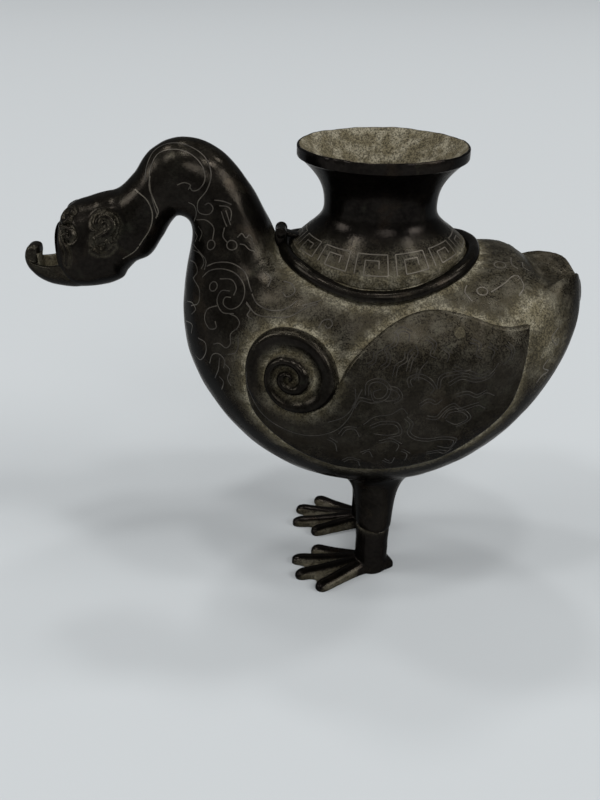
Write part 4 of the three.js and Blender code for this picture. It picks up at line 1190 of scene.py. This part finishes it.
def leg_mesh(side):
    root, tips = toes_of(side)
    bm = turned(SHANK, LEG_X, root[1], SHANK_STEPS)
    for vert in bm.verts:
        vert.co.z -= SEAM_FALL * (vert.co.x - LEG_X) * float(smooth((vert.co.z - TILT_FROM) / TILT_RUN))
    for tip in tips:
        added(bm, toe_mesh(root, tip))
    heel = root + np.array((HEEL_LENGTH + HEEL_OUT, 0, 0))
    added(bm, toe_mesh(root, heel, HEEL_FORM))
    for left, right in zip(tips, tips[1:]):
        added(bm, web_mesh(root, left, right))
    for tip in (tips[0], tips[-1]):
        added(bm, web_mesh(root, root + (tip - root) * HEEL_WEB_FROM, heel, HEEL_WEB_REACH))
    fused(bm, LEG_CELL, LEG_SMOOTHING)
    everything = bm.verts[:] + bm.edges[:] + bm.faces[:]
    cut = bmesh.ops.bisect_plane(
        bm, geom=everything, plane_co=(0, 0, SOLE), plane_no=(0, 0, 1), clear_inner=True
    )
    rim = [g for g in cut["geom_cut"] if isinstance(g, bmesh.types.BMEdge)]
    bmesh.ops.holes_fill(bm, edges=rim)
    bmesh.ops.triangulate(bm, faces=[f for f in bm.faces if len(f.verts) > 4])
    return outward(bm)


def toe_dust(side):
    """Earth lies in the valleys between the toes and along the seam."""
    root, tips = toes_of(side)
    lines = [np.array((root, tip))[:, :2] for tip in tips]

    def amount(point, facing):
        if point.z > SHANK_FROM:
            return SEAM_DUST * math.exp(-abs(point.z - SEAM_HEIGHT) / SEAM_DUST_REACH)
        flat = np.array(((point.x, point.y),))
        away = min(nearest_on(line, flat)[1][0] for line in lines)
        ahead = LEG_X - point.x
        return WEB_DUST * smooth((away - TOE_BARE) / TOE_FADE) * smooth((ahead - FOOT_BARE) / FOOT_FADE)

    return amount


# Hinge of the trumpet: two lugs on the collar, a pin and a leaf
PIVOT = Vector(frame["joints"][0]["pos_m"]) / MM
PIN_RADIUS = 0.8
LUG_RADIUS = 1.9
LUG_THICKNESS = 1.5
LUG_ROOT = 1.2  # how far a lug runs into the collar
LEAF_WIDTH = 4
LEAF_THICKNESS = 1.4
LEAF_LENGTH = 7
LEAF_FALL = 2
HINGE_EASE = 0.3
FIT = 0.3


def round_top(radius, foot):
    arc = [(radius * math.cos(a), radius * math.sin(a)) for a in np.linspace(0, math.pi, 17)]
    arc = [(PIVOT.x + x, PIVOT.z + z) for x, z in arc]
    return [(PIVOT.x + radius, foot)] + arc + [(PIVOT.x - radius, foot)]


def on_pin(end):
    """A shape turned on the hinge's axis, alike at both ends, from one end's radius and place along it."""
    profile = [(radius, -along) for radius, along in end] + end[::-1]
    return placed(turned(profile), Matrix.Rotation(-QUARTER, 3, "X"), PIVOT)


lug_inner = LEAF_WIDTH / 2 + FIT
lug_foot = back_height(MOUTH_X - COLLAR_RADIUS, 0) + COLLAR_PROUD + COLLAR_BEAD / 2 - LUG_ROOT
left_lug = slab(round_top(LUG_RADIUS, lug_foot), -lug_inner - LUG_THICKNESS, -lug_inner, HINGE_EASE)
pin_end = lug_inner + LUG_THICKNESS
pin = on_pin([
    (0, pin_end + 0.6),
    (0.6, pin_end + 0.55),
    (PIN_RADIUS + 0.5, pin_end + 0.3),
    (PIN_RADIUS + 0.55, pin_end + 0.05),
    (PIN_RADIUS, pin_end),
])
half_leaf = LEAF_THICKNESS / 2
leaf_start = PIN_RADIUS + FIT + 0.25  # in the barrel's wall
start_z = PIVOT.z - LEAF_FALL * leaf_start / LEAF_LENGTH
leaf = slab(
    [
        (PIVOT.x + leaf_start, start_z - half_leaf),
        (PIVOT.x + LEAF_LENGTH, PIVOT.z - half_leaf - LEAF_FALL),
        (PIVOT.x + LEAF_LENGTH, PIVOT.z + half_leaf - LEAF_FALL),
        (PIVOT.x + leaf_start, start_z + half_leaf),
    ],
    -LEAF_WIDTH / 2, LEAF_WIDTH / 2, HINGE_EASE,
)
barrel = on_pin([
    (PIN_RADIUS + FIT, LEAF_WIDTH / 2),
    (LUG_RADIUS - 0.5, LEAF_WIDTH / 2),
    (LUG_RADIUS - 0.2, LEAF_WIDTH / 2 - 0.3),
])
added(leaf, barrel)

# Silver wire. Lines are x, y and z on the left side, and they are laid on the casting under them.
WIRE = 0.4  # width
WIRE_PROUD = 0.07
WIRE_SINK = 0.12
WIRE_TOP = 0.84  # share of the width that the flat top takes
WIRE_STEP = 0.45
PAIR_GAP = 1.0  # between the two lines of a pair
EYE_SIDES = 16
PLAIN_WING_LINES = 3  # the first lines on the wing are single
NECK_LINES = [
    [(-44.2, -9.5, 126.2), (-45.1, -10.4, 130.9), (-45.7, -9.8, 135.6), (-45.7, -8.0, 140.0),
     (-43.4, -5.7, 143.8), (-38.4, -6.1, 145.2), (-33.5, -7.1, 143.9), (-30.3, -8.6, 140.9),
     (-29.6, -10.1, 137.5), (-31.4, -10.7, 134.9), (-33.3, -10.7, 134.5), (-34.1, -10.6, 135.7)],
    [(-47.2, -8.7, 136.9), (-46.7, -6.2, 140.9), (-44.5, -3.4, 144.3), (-39.8, -3.6, 146.3),
     (-34.2, -4.9, 145.8), (-30.4, -6.1, 143.8), (-28.2, -8.1, 140.8), (-27.9, -9.6, 137.9),
     (-29.2, -10.8, 134.5), (-31.8, -10.7, 131.1), (-31.7, -10.3, 128.0), (-28.6, -11.5, 127.7),
     (-27.3, -11.5, 129.5), (-28.5, -11.1, 131.0), (-29.8, -11.1, 130.4)],
    [(-32.5, -9.1, 125.4), (-29.5, -11.2, 125.8), (-27.3, -12.6, 124.0), (-27.6, -13.2, 120.5)],
    [(-24.0, -13.1, 124.2), (-24.4, -13.7, 121.6), (-23.2, -14.4, 120.1)],
    [(-37.7, -10.7, 136.1), (-35.6, -10.6, 136.8), (-33.8, -10.7, 136.1), (-34.5, -10.7, 134.8)],
    [(-26.9, -11.2, 131.9), (-24.4, -10.9, 131.5), (-22.0, -10.6, 130.5)],
    [(-25.5, -11.5, 130.3), (-23.0, -11.2, 129.9), (-22.0, -11.4, 128.6), (-22.2, -12.4, 126.1)],
    [(-24.9, -11.9, 128.7), (-24.1, -12.5, 126.3), (-23.3, -13.0, 124.5)],
    [(-23.6, -11.6, 129.0), (-22.9, -12.2, 126.9), (-22.2, -12.8, 124.9)],
    [(-34.7, -10.1, 130.8), (-33.1, -10.3, 130.0), (-32.5, -9.9, 127.6), (-33.4, -8.2, 124.6)],
    [(-32.2, -9.3, 123.4), (-31.0, -10.7, 121.7), (-32.1, -9.9, 118.9)],
    [(-33.6, -6.9, 121.2), (-32.7, -8.6, 120.0), (-33.5, -7.8, 118.1)],
    [(-20.2, -13.6, 121.4), (-18.9, -12.8, 122.4), (-17.7, -12.8, 121.0), (-16.7, -11.8, 121.7),
     (-15.7, -12.1, 119.9)],
    [(-19.5, -14.2, 119.6), (-18.1, -13.9, 119.2), (-16.7, -13.9, 117.8), (-15.0, -13.2, 117.0)],
]
BREAST_LINES = [
    [(-34.2, -7.0, 117.0), (-31.5, -11.6, 115.7), (-29.7, -13.8, 114.1), (-30.2, -14.3, 111.4)],
    [(-34.1, -11.4, 107.9), (-31.9, -14.8, 105.1), (-32.3, -15.5, 101.2), (-34.9, -12.9, 99.2)],
    [(-29.4, -14.4, 112.6), (-26.3, -15.5, 114.2), (-21.8, -16.4, 114.3), (-18.0, -17.3, 112.0),
     (-16.2, -20.0, 107.9), (-14.2, -23.1, 104.4), (-10.1, -25.9, 103.3), (-5.7, -27.1, 104.1),
     (-2.0, -26.5, 106.6)],
    [(-31.0, -14.5, 109.1), (-28.6, -15.3, 111.5), (-24.6, -16.6, 112.6), (-20.7, -17.5, 111.5),
     (-18.2, -19.0, 108.6), (-17.9, -20.8, 105.8), (-19.5, -22.1, 103.1), (-22.3, -21.5, 101.7),
     (-24.3, -20.2, 102.9), (-23.7, -19.8, 104.8), (-22.0, -20.3, 105.0)],
    [(-17.3, -22.1, 104.3), (-14.4, -25.0, 101.7), (-9.5, -27.3, 101.6), (-4.1, -29.1, 102.7),
     (0.2, -28.6, 105.1), (3.9, -28.4, 106.5)],
    [(-25.4, -17.3, 109.7), (-21.8, -18.3, 109.8), (-20.4, -19.4, 107.6), (-21.2, -20.3, 105.6)],
    [(-21.1, -22.6, 100.7), (-24.6, -21.0, 100.5), (-26.3, -19.4, 103.4), (-24.9, -18.7, 106.4),
     (-22.3, -19.5, 106.7)],
    [(-26.3, -19.8, 102.1), (-29.2, -18.4, 100.3), (-30.2, -18.6, 97.1), (-28.7, -20.3, 94.8),
     (-26.6, -21.7, 95.7), (-26.9, -20.9, 97.5)],
    [(-27.6, -22.3, 90.5), (-25.5, -23.3, 91.3), (-23.4, -24.9, 90.5), (-22.0, -25.3, 92.2),
     (-22.0, -24.4, 94.8), (-20.0, -24.7, 96.8)],
    [(-19.7, -25.6, 94.8), (-19.7, -26.7, 91.7), (-20.8, -26.7, 89.6), (-22.9, -25.6, 88.7)],
    [(-29.0, -21.4, 83.6), (-27.7, -22.4, 87.2), (-25.5, -24.0, 88.0), (-23.8, -25.3, 86.4),
     (-24.4, -25.3, 83.9)],
    [(-32.6, -17.3, 90.4), (-30.3, -20.2, 89.9), (-30.1, -20.3, 86.8), (-32.3, -17.5, 83.0),
     (-33.9, -15.1, 83.4)],
    [(-25.6, -24.2, 86.8), (-26.0, -23.8, 82.9), (-27.4, -22.3, 79.0)],
    [(-34.2, -7.6, 115.4), (-31.6, -11.7, 115.5), (-30.4, -13.6, 113.6), (-31.3, -13.5, 111.4)],
    [(-35.6, -6.1, 111.6), (-33.3, -10.9, 112.1), (-32.7, -12.7, 110.2), (-34.1, -11.6, 107.7)],
    [(-36.5, -10.2, 99.6), (-34.5, -13.4, 100.3), (-33.4, -15.2, 98.9), (-34.8, -13.9, 96.8)],
    [(-37.2, -9.7, 92.8), (-34.8, -14.5, 93.5), (-35.2, -14.0, 90.4)],
    [(-24.1, -25.5, 85.6), (-22.4, -26.8, 84.1), (-23.2, -26.2, 80.8), (-22.1, -26.9, 78.6)],
    [(-26.0, -23.9, 80.4), (-24.6, -24.9, 79.1), (-25.3, -23.7, 75.8)],
    [(-6.3, -19.6, 110.1), (-4.0, -21.0, 109.8), (-2.9, -24.0, 108.3), (-5.2, -24.6, 107.0),
     (-6.5, -22.8, 107.8)],
    [(4.0, -33.2, 100.8), (5.4, -32.1, 102.8), (7.4, -32.2, 103.2), (8.1, -33.1, 102.0), (6.7, -33.5, 101.0),
     (5.9, -32.9, 101.8)],
    [(-0.7, -28.0, 105.7), (2.4, -28.1, 106.6), (4.9, -27.7, 107.4)],
    [(-17.4, -22.3, 104.0), (-16.1, -23.8, 102.6), (-17.0, -24.3, 101.0), (-15.4, -25.6, 100.2)],
    [(-12.1, -16.4, 111.7), (-10.1, -18.0, 110.3), (-11.0, -20.3, 108.5)],
    [(-22.3, -22.1, 100.4), (-20.3, -23.3, 99.9), (-19.3, -24.5, 98.4), (-20.3, -24.9, 96.4)],
]
NAPE_LINES = [
    [(-50.6, -7.8, 133.9), (-46.9, -10.4, 131.5), (-45.6, -10.3, 127.6), (-46.6, -9.6, 122.9),
     (-49.2, -9.7, 118.9), (-52.4, -9.3, 115.0), (-55.7, -9.8, 113.1)],
    [(-45.7, -9.0, 138.1), (-45.9, -9.9, 134.9), (-44.7, -10.5, 131.2), (-43.9, -9.8, 127.8),
     (-44.8, -9.6, 125.8)],
]
TAIL_LINES = [
    [(62.7, -7.1, 111.6), (62.4, -11.6, 110.9), (63.8, -12.7, 110.3)],
    [(65.7, -7.4, 110.6), (65.3, -10.8, 110.1), (67.2, -10.9, 109.6)],
    [(47.5, -22.7, 110.5), (46.8, -24.8, 109.1), (48.7, -26.7, 107.1)],
    [(54.8, -22.9, 108.4), (58.9, -19.5, 109.4), (62.8, -15.4, 109.6), (64.6, -18.1, 107.8),
     (63.0, -21.4, 106.3)],
    [(76.9, -20.9, 96.8), (74.6, -23.2, 94.4), (77.0, -21.6, 91.4), (77.3, -21.2, 93.5)],
    [(74.2, -24.1, 87.8), (72.7, -25.3, 85.5), (75.2, -22.9, 83.2), (72.6, -25.1, 82.4),
     (71.1, -26.1, 80.6)],
]
WING_LINES = [  # x and z
    [(-17.0, 86.4), (-15.8, 78.9), (-11.7, 72.5), (-4.1, 68.9), (3.3, 68.7), (9.8, 71.7), (13.6, 76.7),
     (15.8, 83.1), (16.9, 85.7)],
    [(7.3, 74.3), (12, 76.5), (15, 81.3), (14.9, 85.6)],
    [(17.7, 74.2), (20.8, 77), (25.6, 78.1), (28.7, 79.9), (30.4, 78)],
    [(18.8, 83.9), (19.0, 87.3), (21.7, 88.2), (24.1, 86.3), (23.1, 83.7), (20.8, 83.2), (20.1, 85.1),
     (22.2, 86.1)],
    [(24.1, 86.3), (26.6, 85.5), (27.6, 83.7), (25.9, 82.6), (23.6, 82.4)],
    [(15.0, 79.5), (16.5, 82.0), (19.7, 81.6), (22.8, 82.3)],
    [(20.1, 73.1), (23.2, 74.6), (27.2, 74.2), (28.2, 71.7), (25.1, 70.7), (21.0, 71.1)],
    [(22.4, 91.7), (24.3, 93.3), (24.6, 95.5), (23.8, 96.9), (26.1, 98.4), (26.8, 100.5), (26.1, 101.8)],
    [(26.3, 89.6), (27.0, 92.6), (29.3, 94.2), (29.6, 96.3), (30.8, 97.4)],
    [(30.2, 91.2), (30.9, 94.2), (32.4, 96.4), (31.7, 98.5)],
    [(32.7, 88.7), (33.3, 91.9), (35.2, 94.2)],
    [(39.2, 85.9), (39.8, 89.1), (43.0, 89.8), (47.1, 89.9), (51.3, 88.2), (54.6, 89.4), (56.5, 91.9)],
    [(42.0, 86.6), (45.5, 88.3), (49.7, 87.1), (53.9, 87.8), (55.5, 89.3)],
    [(42.5, 91.8), (45.4, 90.4), (48.2, 91.2)],
    [(58.4, 96.6), (60.4, 94.7), (59.8, 92.4), (57.9, 91.1)],
    [(52.9, 96.8), (55.1, 95.2), (54.3, 93.4)],
    [(31.2, 86.9), (30.5, 88.8), (32.6, 89.7), (35.9, 88.2), (37.6, 85.8), (36.5, 84.4)],
    [(36.0, 76.3), (39.3, 75.9), (41.5, 78.4), (43.9, 79.8), (45.8, 78.2), (48.9, 78.7), (51.4, 79.3),
     (53.8, 77.7)],
    [(41.7, 75.8), (42.8, 77.6), (46.5, 77.6), (48.7, 75.1), (45.5, 73.3), (42.0, 75.2)],
    [(29.5, 76.5), (31.3, 74.5), (30.7, 71.7), (32.5, 69.3), (36.8, 67.8), (41.8, 68.0), (45.5, 66.4),
     (44.6, 63.6), (40.5, 65.2)],
    [(11.4, 69.8), (12.9, 72.1), (15.3, 72.3), (16.8, 69.6)],
    [(7.4, 67.9), (9.5, 66.5), (10.4, 63.0)],
    [(12.7, 58.2), (14.5, 59.8), (16.8, 59.1), (17.6, 56.6)],
    [(17.9, 62.6), (19.8, 64.1), (21.2, 61.2)],
    [(24.3, 59.9), (26.9, 58.4), (27.9, 61.3)],
    [(29.5, 64.2), (31.5, 62.5), (31.2, 59.6)],
    [(26.1, 100.5), (27.8, 101.9), (29.9, 101.2), (29.6, 99.5)],
    [(34.7, 99.8), (36.7, 98.4), (35.9, 95.9), (37.9, 94.8)],
    [(39.5, 97.2), (41.5, 95.6), (40.8, 93.7)],
    [(47.5, 98.4), (50.0, 97.2), (49.4, 95.1), (51.3, 93.8)],
    [(18.5, 92.3), (20.4, 93.7), (20.7, 96.0), (22.6, 97.3)],
    [(44.4, 82.9), (47.6, 83.4), (50.7, 82.0), (53.5, 83.1), (56.3, 81.6)],
    [(34.0, 80.5), (36.3, 81.9), (38.4, 80.9), (40.3, 82.4)],
    [(22.8, 67.6), (26.0, 68.5), (28.6, 66.9), (28.0, 64.1)],
    [(37.5, 61.8), (40.9, 62.2), (45.1, 58.9), (47.5, 60.6)],
]
EYES = {  # small rings at the ends of scrolls: middle, radius, and which way beside x the ring spreads
    "neck_scroll": [((-28.1, -13.3, 118.9), 1.5, UP), ((-21.8, -14.5, 119.3), 1.5, UP)],
    "breast_scroll": [((-27.5, -17.4, 107.3), 1.5, UP)],
    "tail_scroll": [((58.9, -12.2, 112.0), 1.7, ACROSS), ((52.1, -23.4, 108.9), 1.7, ACROSS)],
    "wing_scroll": [((8.8, -39.1, 77.5), 1.5, UP)],
}


def run_of(line):
    """How far along a line each of its points is."""
    return np.concatenate([[0], np.cumsum(np.linalg.norm(np.diff(line, axis=0), axis=1))])


def walked(line, run, at):
    """Points of a line at the given places along it."""
    return np.stack([np.interp(at, run, column) for column in line.T], -1)


def even_steps(line, step):
    run = run_of(line)
    count = max(2, int(round(run[-1] / step)) + 1)
    return walked(line, run, np.linspace(0, run[-1], count))


def on_surface(line, trees):
    """The nearest points of the castings to a line, and the way that the skin faces there."""
    points, normals = [], []
    for p in line:
        hits = [tree.find_nearest(Vector(p)) for tree in trees]
        place, facing, _, _ = min(hits, key=lambda hit: hit[3])
        points.append(place)
        normals.append(facing)
    points, normals = np.array(points), np.array(normals)
    if len(normals) > 4:
        padded = np.vstack([normals[:1], normals, normals[-1:]])
        normals = (padded[:-2] + padded[1:-1] + padded[2:]) / 3
    normals /= np.linalg.norm(normals, axis=1, keepdims=True)
    return points, normals


def lay_wire(bm, line, trees, width):
    """A flat wire along a line on the castings, standing a hair out of them."""
    points, normals = on_surface(line, trees)
    across = np.cross(normals, np.gradient(points, axis=0))
    across /= np.maximum(np.linalg.norm(across, axis=1, keepdims=True), WELD)
    foot, top = (width / 2, -WIRE_SINK), (width * WIRE_TOP / 2, WIRE_PROUD)
    section = [(-foot[0], foot[1]), (-top[0], top[1]), top, foot, (-foot[0], foot[1])]
    all_rings = np.stack([points + across * a + normals * h for a, h in section], 1)
    first, last = drawn_in(all_rings[0], 0), drawn_in(all_rings[-1], 0)
    loft([first] + list(all_rings) + [last], bm)


def wires(lines, trees, tarnish, width):
    """Wire along lines, marked with how tarnished it is."""
    bm = bmesh.new()
    for line in lines:
        lay_wire(bm, line, trees, width)
    layer = bm.verts.layers.float.new("tarnish")
    for vert in bm.verts:
        vert[layer] = tarnish
    return outward(bm)


def doubled(lines, gap):
    """Each line of x and z with another beside it."""
    made = []
    for line in lines:
        flat = np.array(line)
        run = np.gradient(flat, axis=0)
        run /= np.linalg.norm(run, axis=1, keepdims=True)
        made += [flat, flat[:-1] + gap * np.stack([-run[:-1, 1], run[:-1, 0]], -1)]
    return made


# Fret: squared coils round the trumpet's foot
FRET_UNITS = 13
FRET_COIL = [  # a coil's corners, in shares of its width and of the band's height
    (0.05, 0.0), (0.05, 1.0), (0.84, 1.0), (0.84, 0.0), (0.27, 0.0), (0.27, 0.68), (0.62, 0.68), (0.62, 0.3),
]
FRET_TOP = 0.64  # shares of the way down the foot
FRET_BOTTOM = 0.95
FRET_WIRE = 0.36
FRET_TARNISH = 0.25


def fret_lines():
    run = run_of(foot_curve) / run_of(foot_curve)[-1]
    share = np.linspace(0, 1, 9)
    made = []
    for unit in range(FRET_UNITS):
        for (u0, v0), (u1, v1) in zip(FRET_COIL, FRET_COIL[1:]):
            angle = (unit + u0 + (u1 - u0) * share) / FRET_UNITS * math.tau
            down = FRET_BOTTOM + (FRET_TOP - FRET_BOTTOM) * (v0 + (v1 - v0) * share)
            radius, height = walked(foot_curve, run, down).T
            line = np.stack([MOUTH_X + radius * np.cos(angle), radius * np.sin(angle), height], -1)
            made.append(np.array([saddled(Vector(p)) for p in line]))
    return made


fret = wires(fret_lines(), [trumpet_tree], FRET_TARNISH, FRET_WIRE)

# Dust and painted light, in shares of full cover, and the finished pieces
COLLAR_REACH, WING_REACH, RUBBED_REACH = 3.0, 2.6, 9.0  # how far a piece changes the dust beside it
BODY_FILM_AND_LIGHT, BELLY_BARE, BELLY_FADE = 0.2, 38, 14  # a film, part earth and part painted light from above, that starts at this height and comes over so much
BELLY_TOP = 60  # up to this height the body keeps only a little earth beside the wings
LIP_X = -83.8  # the lip starts here
# the trough's paleness is part dust and part painted light in the lip's shade
TROUGH_DUST_AND_LIGHT, BILL_FILM = 0.95, 0.06
TROUGH_EDGE, TROUGH_FLOOR, LIP_TOP = 110, 107.5, 112  # heights up to which the wall, floor and lip are pale
BOWL_DUST, BOWL_EDGE = 0.75, 0.7  # the rim's top is bare so far in
FOOT_DUST, FOOT_DUST_REACH, FOOT_FILM = 0.65, 1.7, 0.1
# the leaf's film is part dust and part painted sheen
LEAF_FILM_AND_SHEEN = 0.24


def spot(point, x, length, z, height):
    """A soft round patch as seen from the side: 1 in its middle."""
    return math.exp(-(((point.x - x) / length) ** 2) - (((point.z - z) / height) ** 2))


def body_dust_and_light(point, facing):
    wing_side = max(beside(tree, WING_REACH, point) for tree in (left_wing_tree, right_wing_tree))
    rubbed = 0.6 * beside(neck_tree, RUBBED_REACH, point)
    # the body's film is part earth and part painted light, paler where a face looks up
    film = BODY_FILM_AND_LIGHT * (1 - rubbed) * dust_and_top_light(facing) * float(smooth((point.z - BELLY_BARE) / BELLY_FADE))
    if point.z <= BELLY_TOP:
        return max(0.5 * wing_side, film)
    flank = 0.55 * spot(point, 73, 8, 94, 13)
    # the rump's pale patch is part dust and part a painted highlight where the light from above catches it
    rump_dust_and_highlight = spot(point, 67, 9, 102, 6)
    return max(0.9 * beside(collar_tree, COLLAR_REACH, point), wing_side, flank, rump_dust_and_highlight, film)


def bill_dust_and_light(point, facing):
    """The trough is pale inside: part dust, and part painted light that lifts the shade which the lip and the
    face cast into it. The lip's inner face is pale as painted light alone.
    """
    wall = facing.y * math.copysign(1, point.y) < -0.3 and point.z < TROUGH_EDGE
    floor = facing.z > 0.5 and point.z < TROUGH_FLOOR
    # the lip's inner face is painted light, pale where the lip shades it
    lip_painted_light = facing.x > 0.4 and point.z < LIP_TOP
    return TROUGH_DUST_AND_LIGHT if point.x > LIP_X and (wall or floor or lip_painted_light) else BILL_FILM


def trumpet_dust(point, facing):
    """The bowl is pale, and the foot towards its edge."""
    radius = math.hypot(point.x - MOUTH_X, point.y)
    if facing.z > 0.1 and point.z > THROAT and radius < RIM_RADIUS - BOWL_EDGE:
        return BOWL_DUST
    if point.z >= THROAT:
        return 0.0
    film = FOOT_FILM * float(smooth((radius - THROAT_RADIUS - 0.5) / 6))
    return max(FOOT_DUST * math.exp(-(FOOT_RADIUS + 0.4 - radius) / FOOT_DUST_REACH), film)


def leaf_dust_and_sheen(point, facing):
    """A film on a wing's leaf, part dust and part painted sheen, the more where the leaf looks up, and none
    on its coil, which a cloth keeps bright.
    """
    from_coil = math.hypot(point.x - COIL_X, point.z - COIL_Z) - COIL_RADIUS
    return LEAF_FILM_AND_SHEEN * float(smooth((from_coil + 3) / 6)) * dust_and_top_light(facing)


# the last column is a film on each piece, part earth and part painted light from above
for bm, amount, film in (
    (body, body_dust_and_light, 0.06),
    (trumpet, trumpet_dust, 0.0),
    (collar, lambda point, facing: 0.5 * float(smooth(-facing.z)), 0.04),
    (neck, lambda point, facing: 0.95 * beside(collar_tree, COLLAR_REACH, point), 0.06),
    (core_plug, lambda point, facing: 0.4, 0.0),
    (left_wing, leaf_dust_and_sheen, 0.04),
    (right_wing, leaf_dust_and_sheen, 0.04),
):
    mark_dust_and_light(bm, amount, film)
for bm in (head, left_lug, pin, leaf):
    mark_dust_and_light(bm, lambda point, facing: 0.0, 0.03)

piece("body_shell", body)
piece("neck", neck)
piece("head", head)
piece("bill_spout", mark_dust_and_light(bill, bill_dust_and_light))
piece("collar_ring", collar)
piece("mouth_trumpet", trumpet, "mouth")
piece("hinge_leaf", leaf, "mouth")
piece("mouth_fret", fret, "mouth", wire=True)
piece("hinge_pin", pin)
piece("right_hinge_lug", mirrored(left_lug))
piece("left_hinge_lug", left_lug)
piece("left_wing", left_wing)
piece("right_wing", right_wing)
piece("core_plug", core_plug)
for side, name in ((-1, "left"), (1, "right")):
    piece(name + "_leg", mark_dust_and_light(leg_mesh(side), toe_dust(side)))

wing_lines = [
    [from_left(left_wing_tree, x, z)[0] or (x, -BODY_WIDTH / 2, z) for x, z in line]
    for line in WING_LINES[:PLAIN_WING_LINES] + doubled(WING_LINES[PLAIN_WING_LINES:], PAIR_GAP)
]
for name, lines, trees, tarnish, width in (
    ("nape_band", NAPE_LINES, [neck_tree, head_tree], 0.2, WIRE),
    ("neck_scroll", NECK_LINES, [neck_tree, head_tree], 0.55, 0.9 * WIRE),
    ("breast_scroll", BREAST_LINES, [body_tree, neck_tree], 0.55, 0.9 * WIRE),
    ("tail_scroll", TAIL_LINES, [body_tree], 0.3, WIRE),
    ("wing_scroll", wing_lines, [left_wing_tree], 0.72, 0.8 * WIRE),
):
    eyes = [hoop(middle, size * ALONG, size * way, EYE_SIDES) for middle, size, way in EYES.get(name, [])]
    laid = [even_steps(spline(line, 10), WIRE_STEP) for line in lines + eyes]
    left = wires(laid, trees, tarnish, width)
    piece("right_" + name, mirrored(left), wire=True)
    piece("left_" + name, left, wire=True)

# Floor and light
FLOOR_REACH = 6  # metres, as are the lamps' places and sizes
floor = bmesh.new()
bmesh.ops.create_grid(floor, x_segments=1, y_segments=1, size=FLOOR_REACH)
floor_object = as_object(floor, "floor")
floor.free()
floor_object.data.materials.append(floor_paint("pale_floor"))

world = bpy.data.worlds.new("studio")
world.use_nodes = True
world.node_tree.nodes["Background"].inputs["Color"].default_value = colour("#e4e6e8")
world.node_tree.nodes["Background"].inputs["Strength"].default_value = 0.3
scene.world = world

OVERHEAD = [
    (-4.2, -2.4, 7.9), (-4.6, 2.6, 7.6), (4.6, -2.0, 7.7),
    (5.2, 2.2, 7.3), (0.2, -1.4, 9.1), (-0.6, 3.8, 8.3),
]
LAMP_SIZE = 1.1
LAMP_POWER = 86
PANELS = [((4.9, -1.6, 3.2), 112), ((0.9, -4.4, 3.9), 62), ((-5.2, -0.6, 2.9), 72)]  # low, with their power
PANEL_SIZE = 2.4
AIM = Vector((0, 0, 0.08))


def lamp(name, place, size, power):
    light = bpy.data.lights.new(name, "AREA")
    light.shape = "DISK"
    light.size = size
    light.energy = power
    obj = bpy.data.objects.new(name, light)
    scene.collection.objects.link(obj)
    turn = (AIM - Vector(place)).to_track_quat("-Z", "Y")
    obj.matrix_world = Matrix.Translation(place) @ turn.to_matrix().to_4x4()


for number, place in enumerate(OVERHEAD):
    lamp("lamp_%d" % number, place, LAMP_SIZE, LAMP_POWER)
for number, (place, power) in enumerate(PANELS):
    lamp("panel_%d" % number, place, PANEL_SIZE, power)

scene.view_settings.view_transform = "Standard"
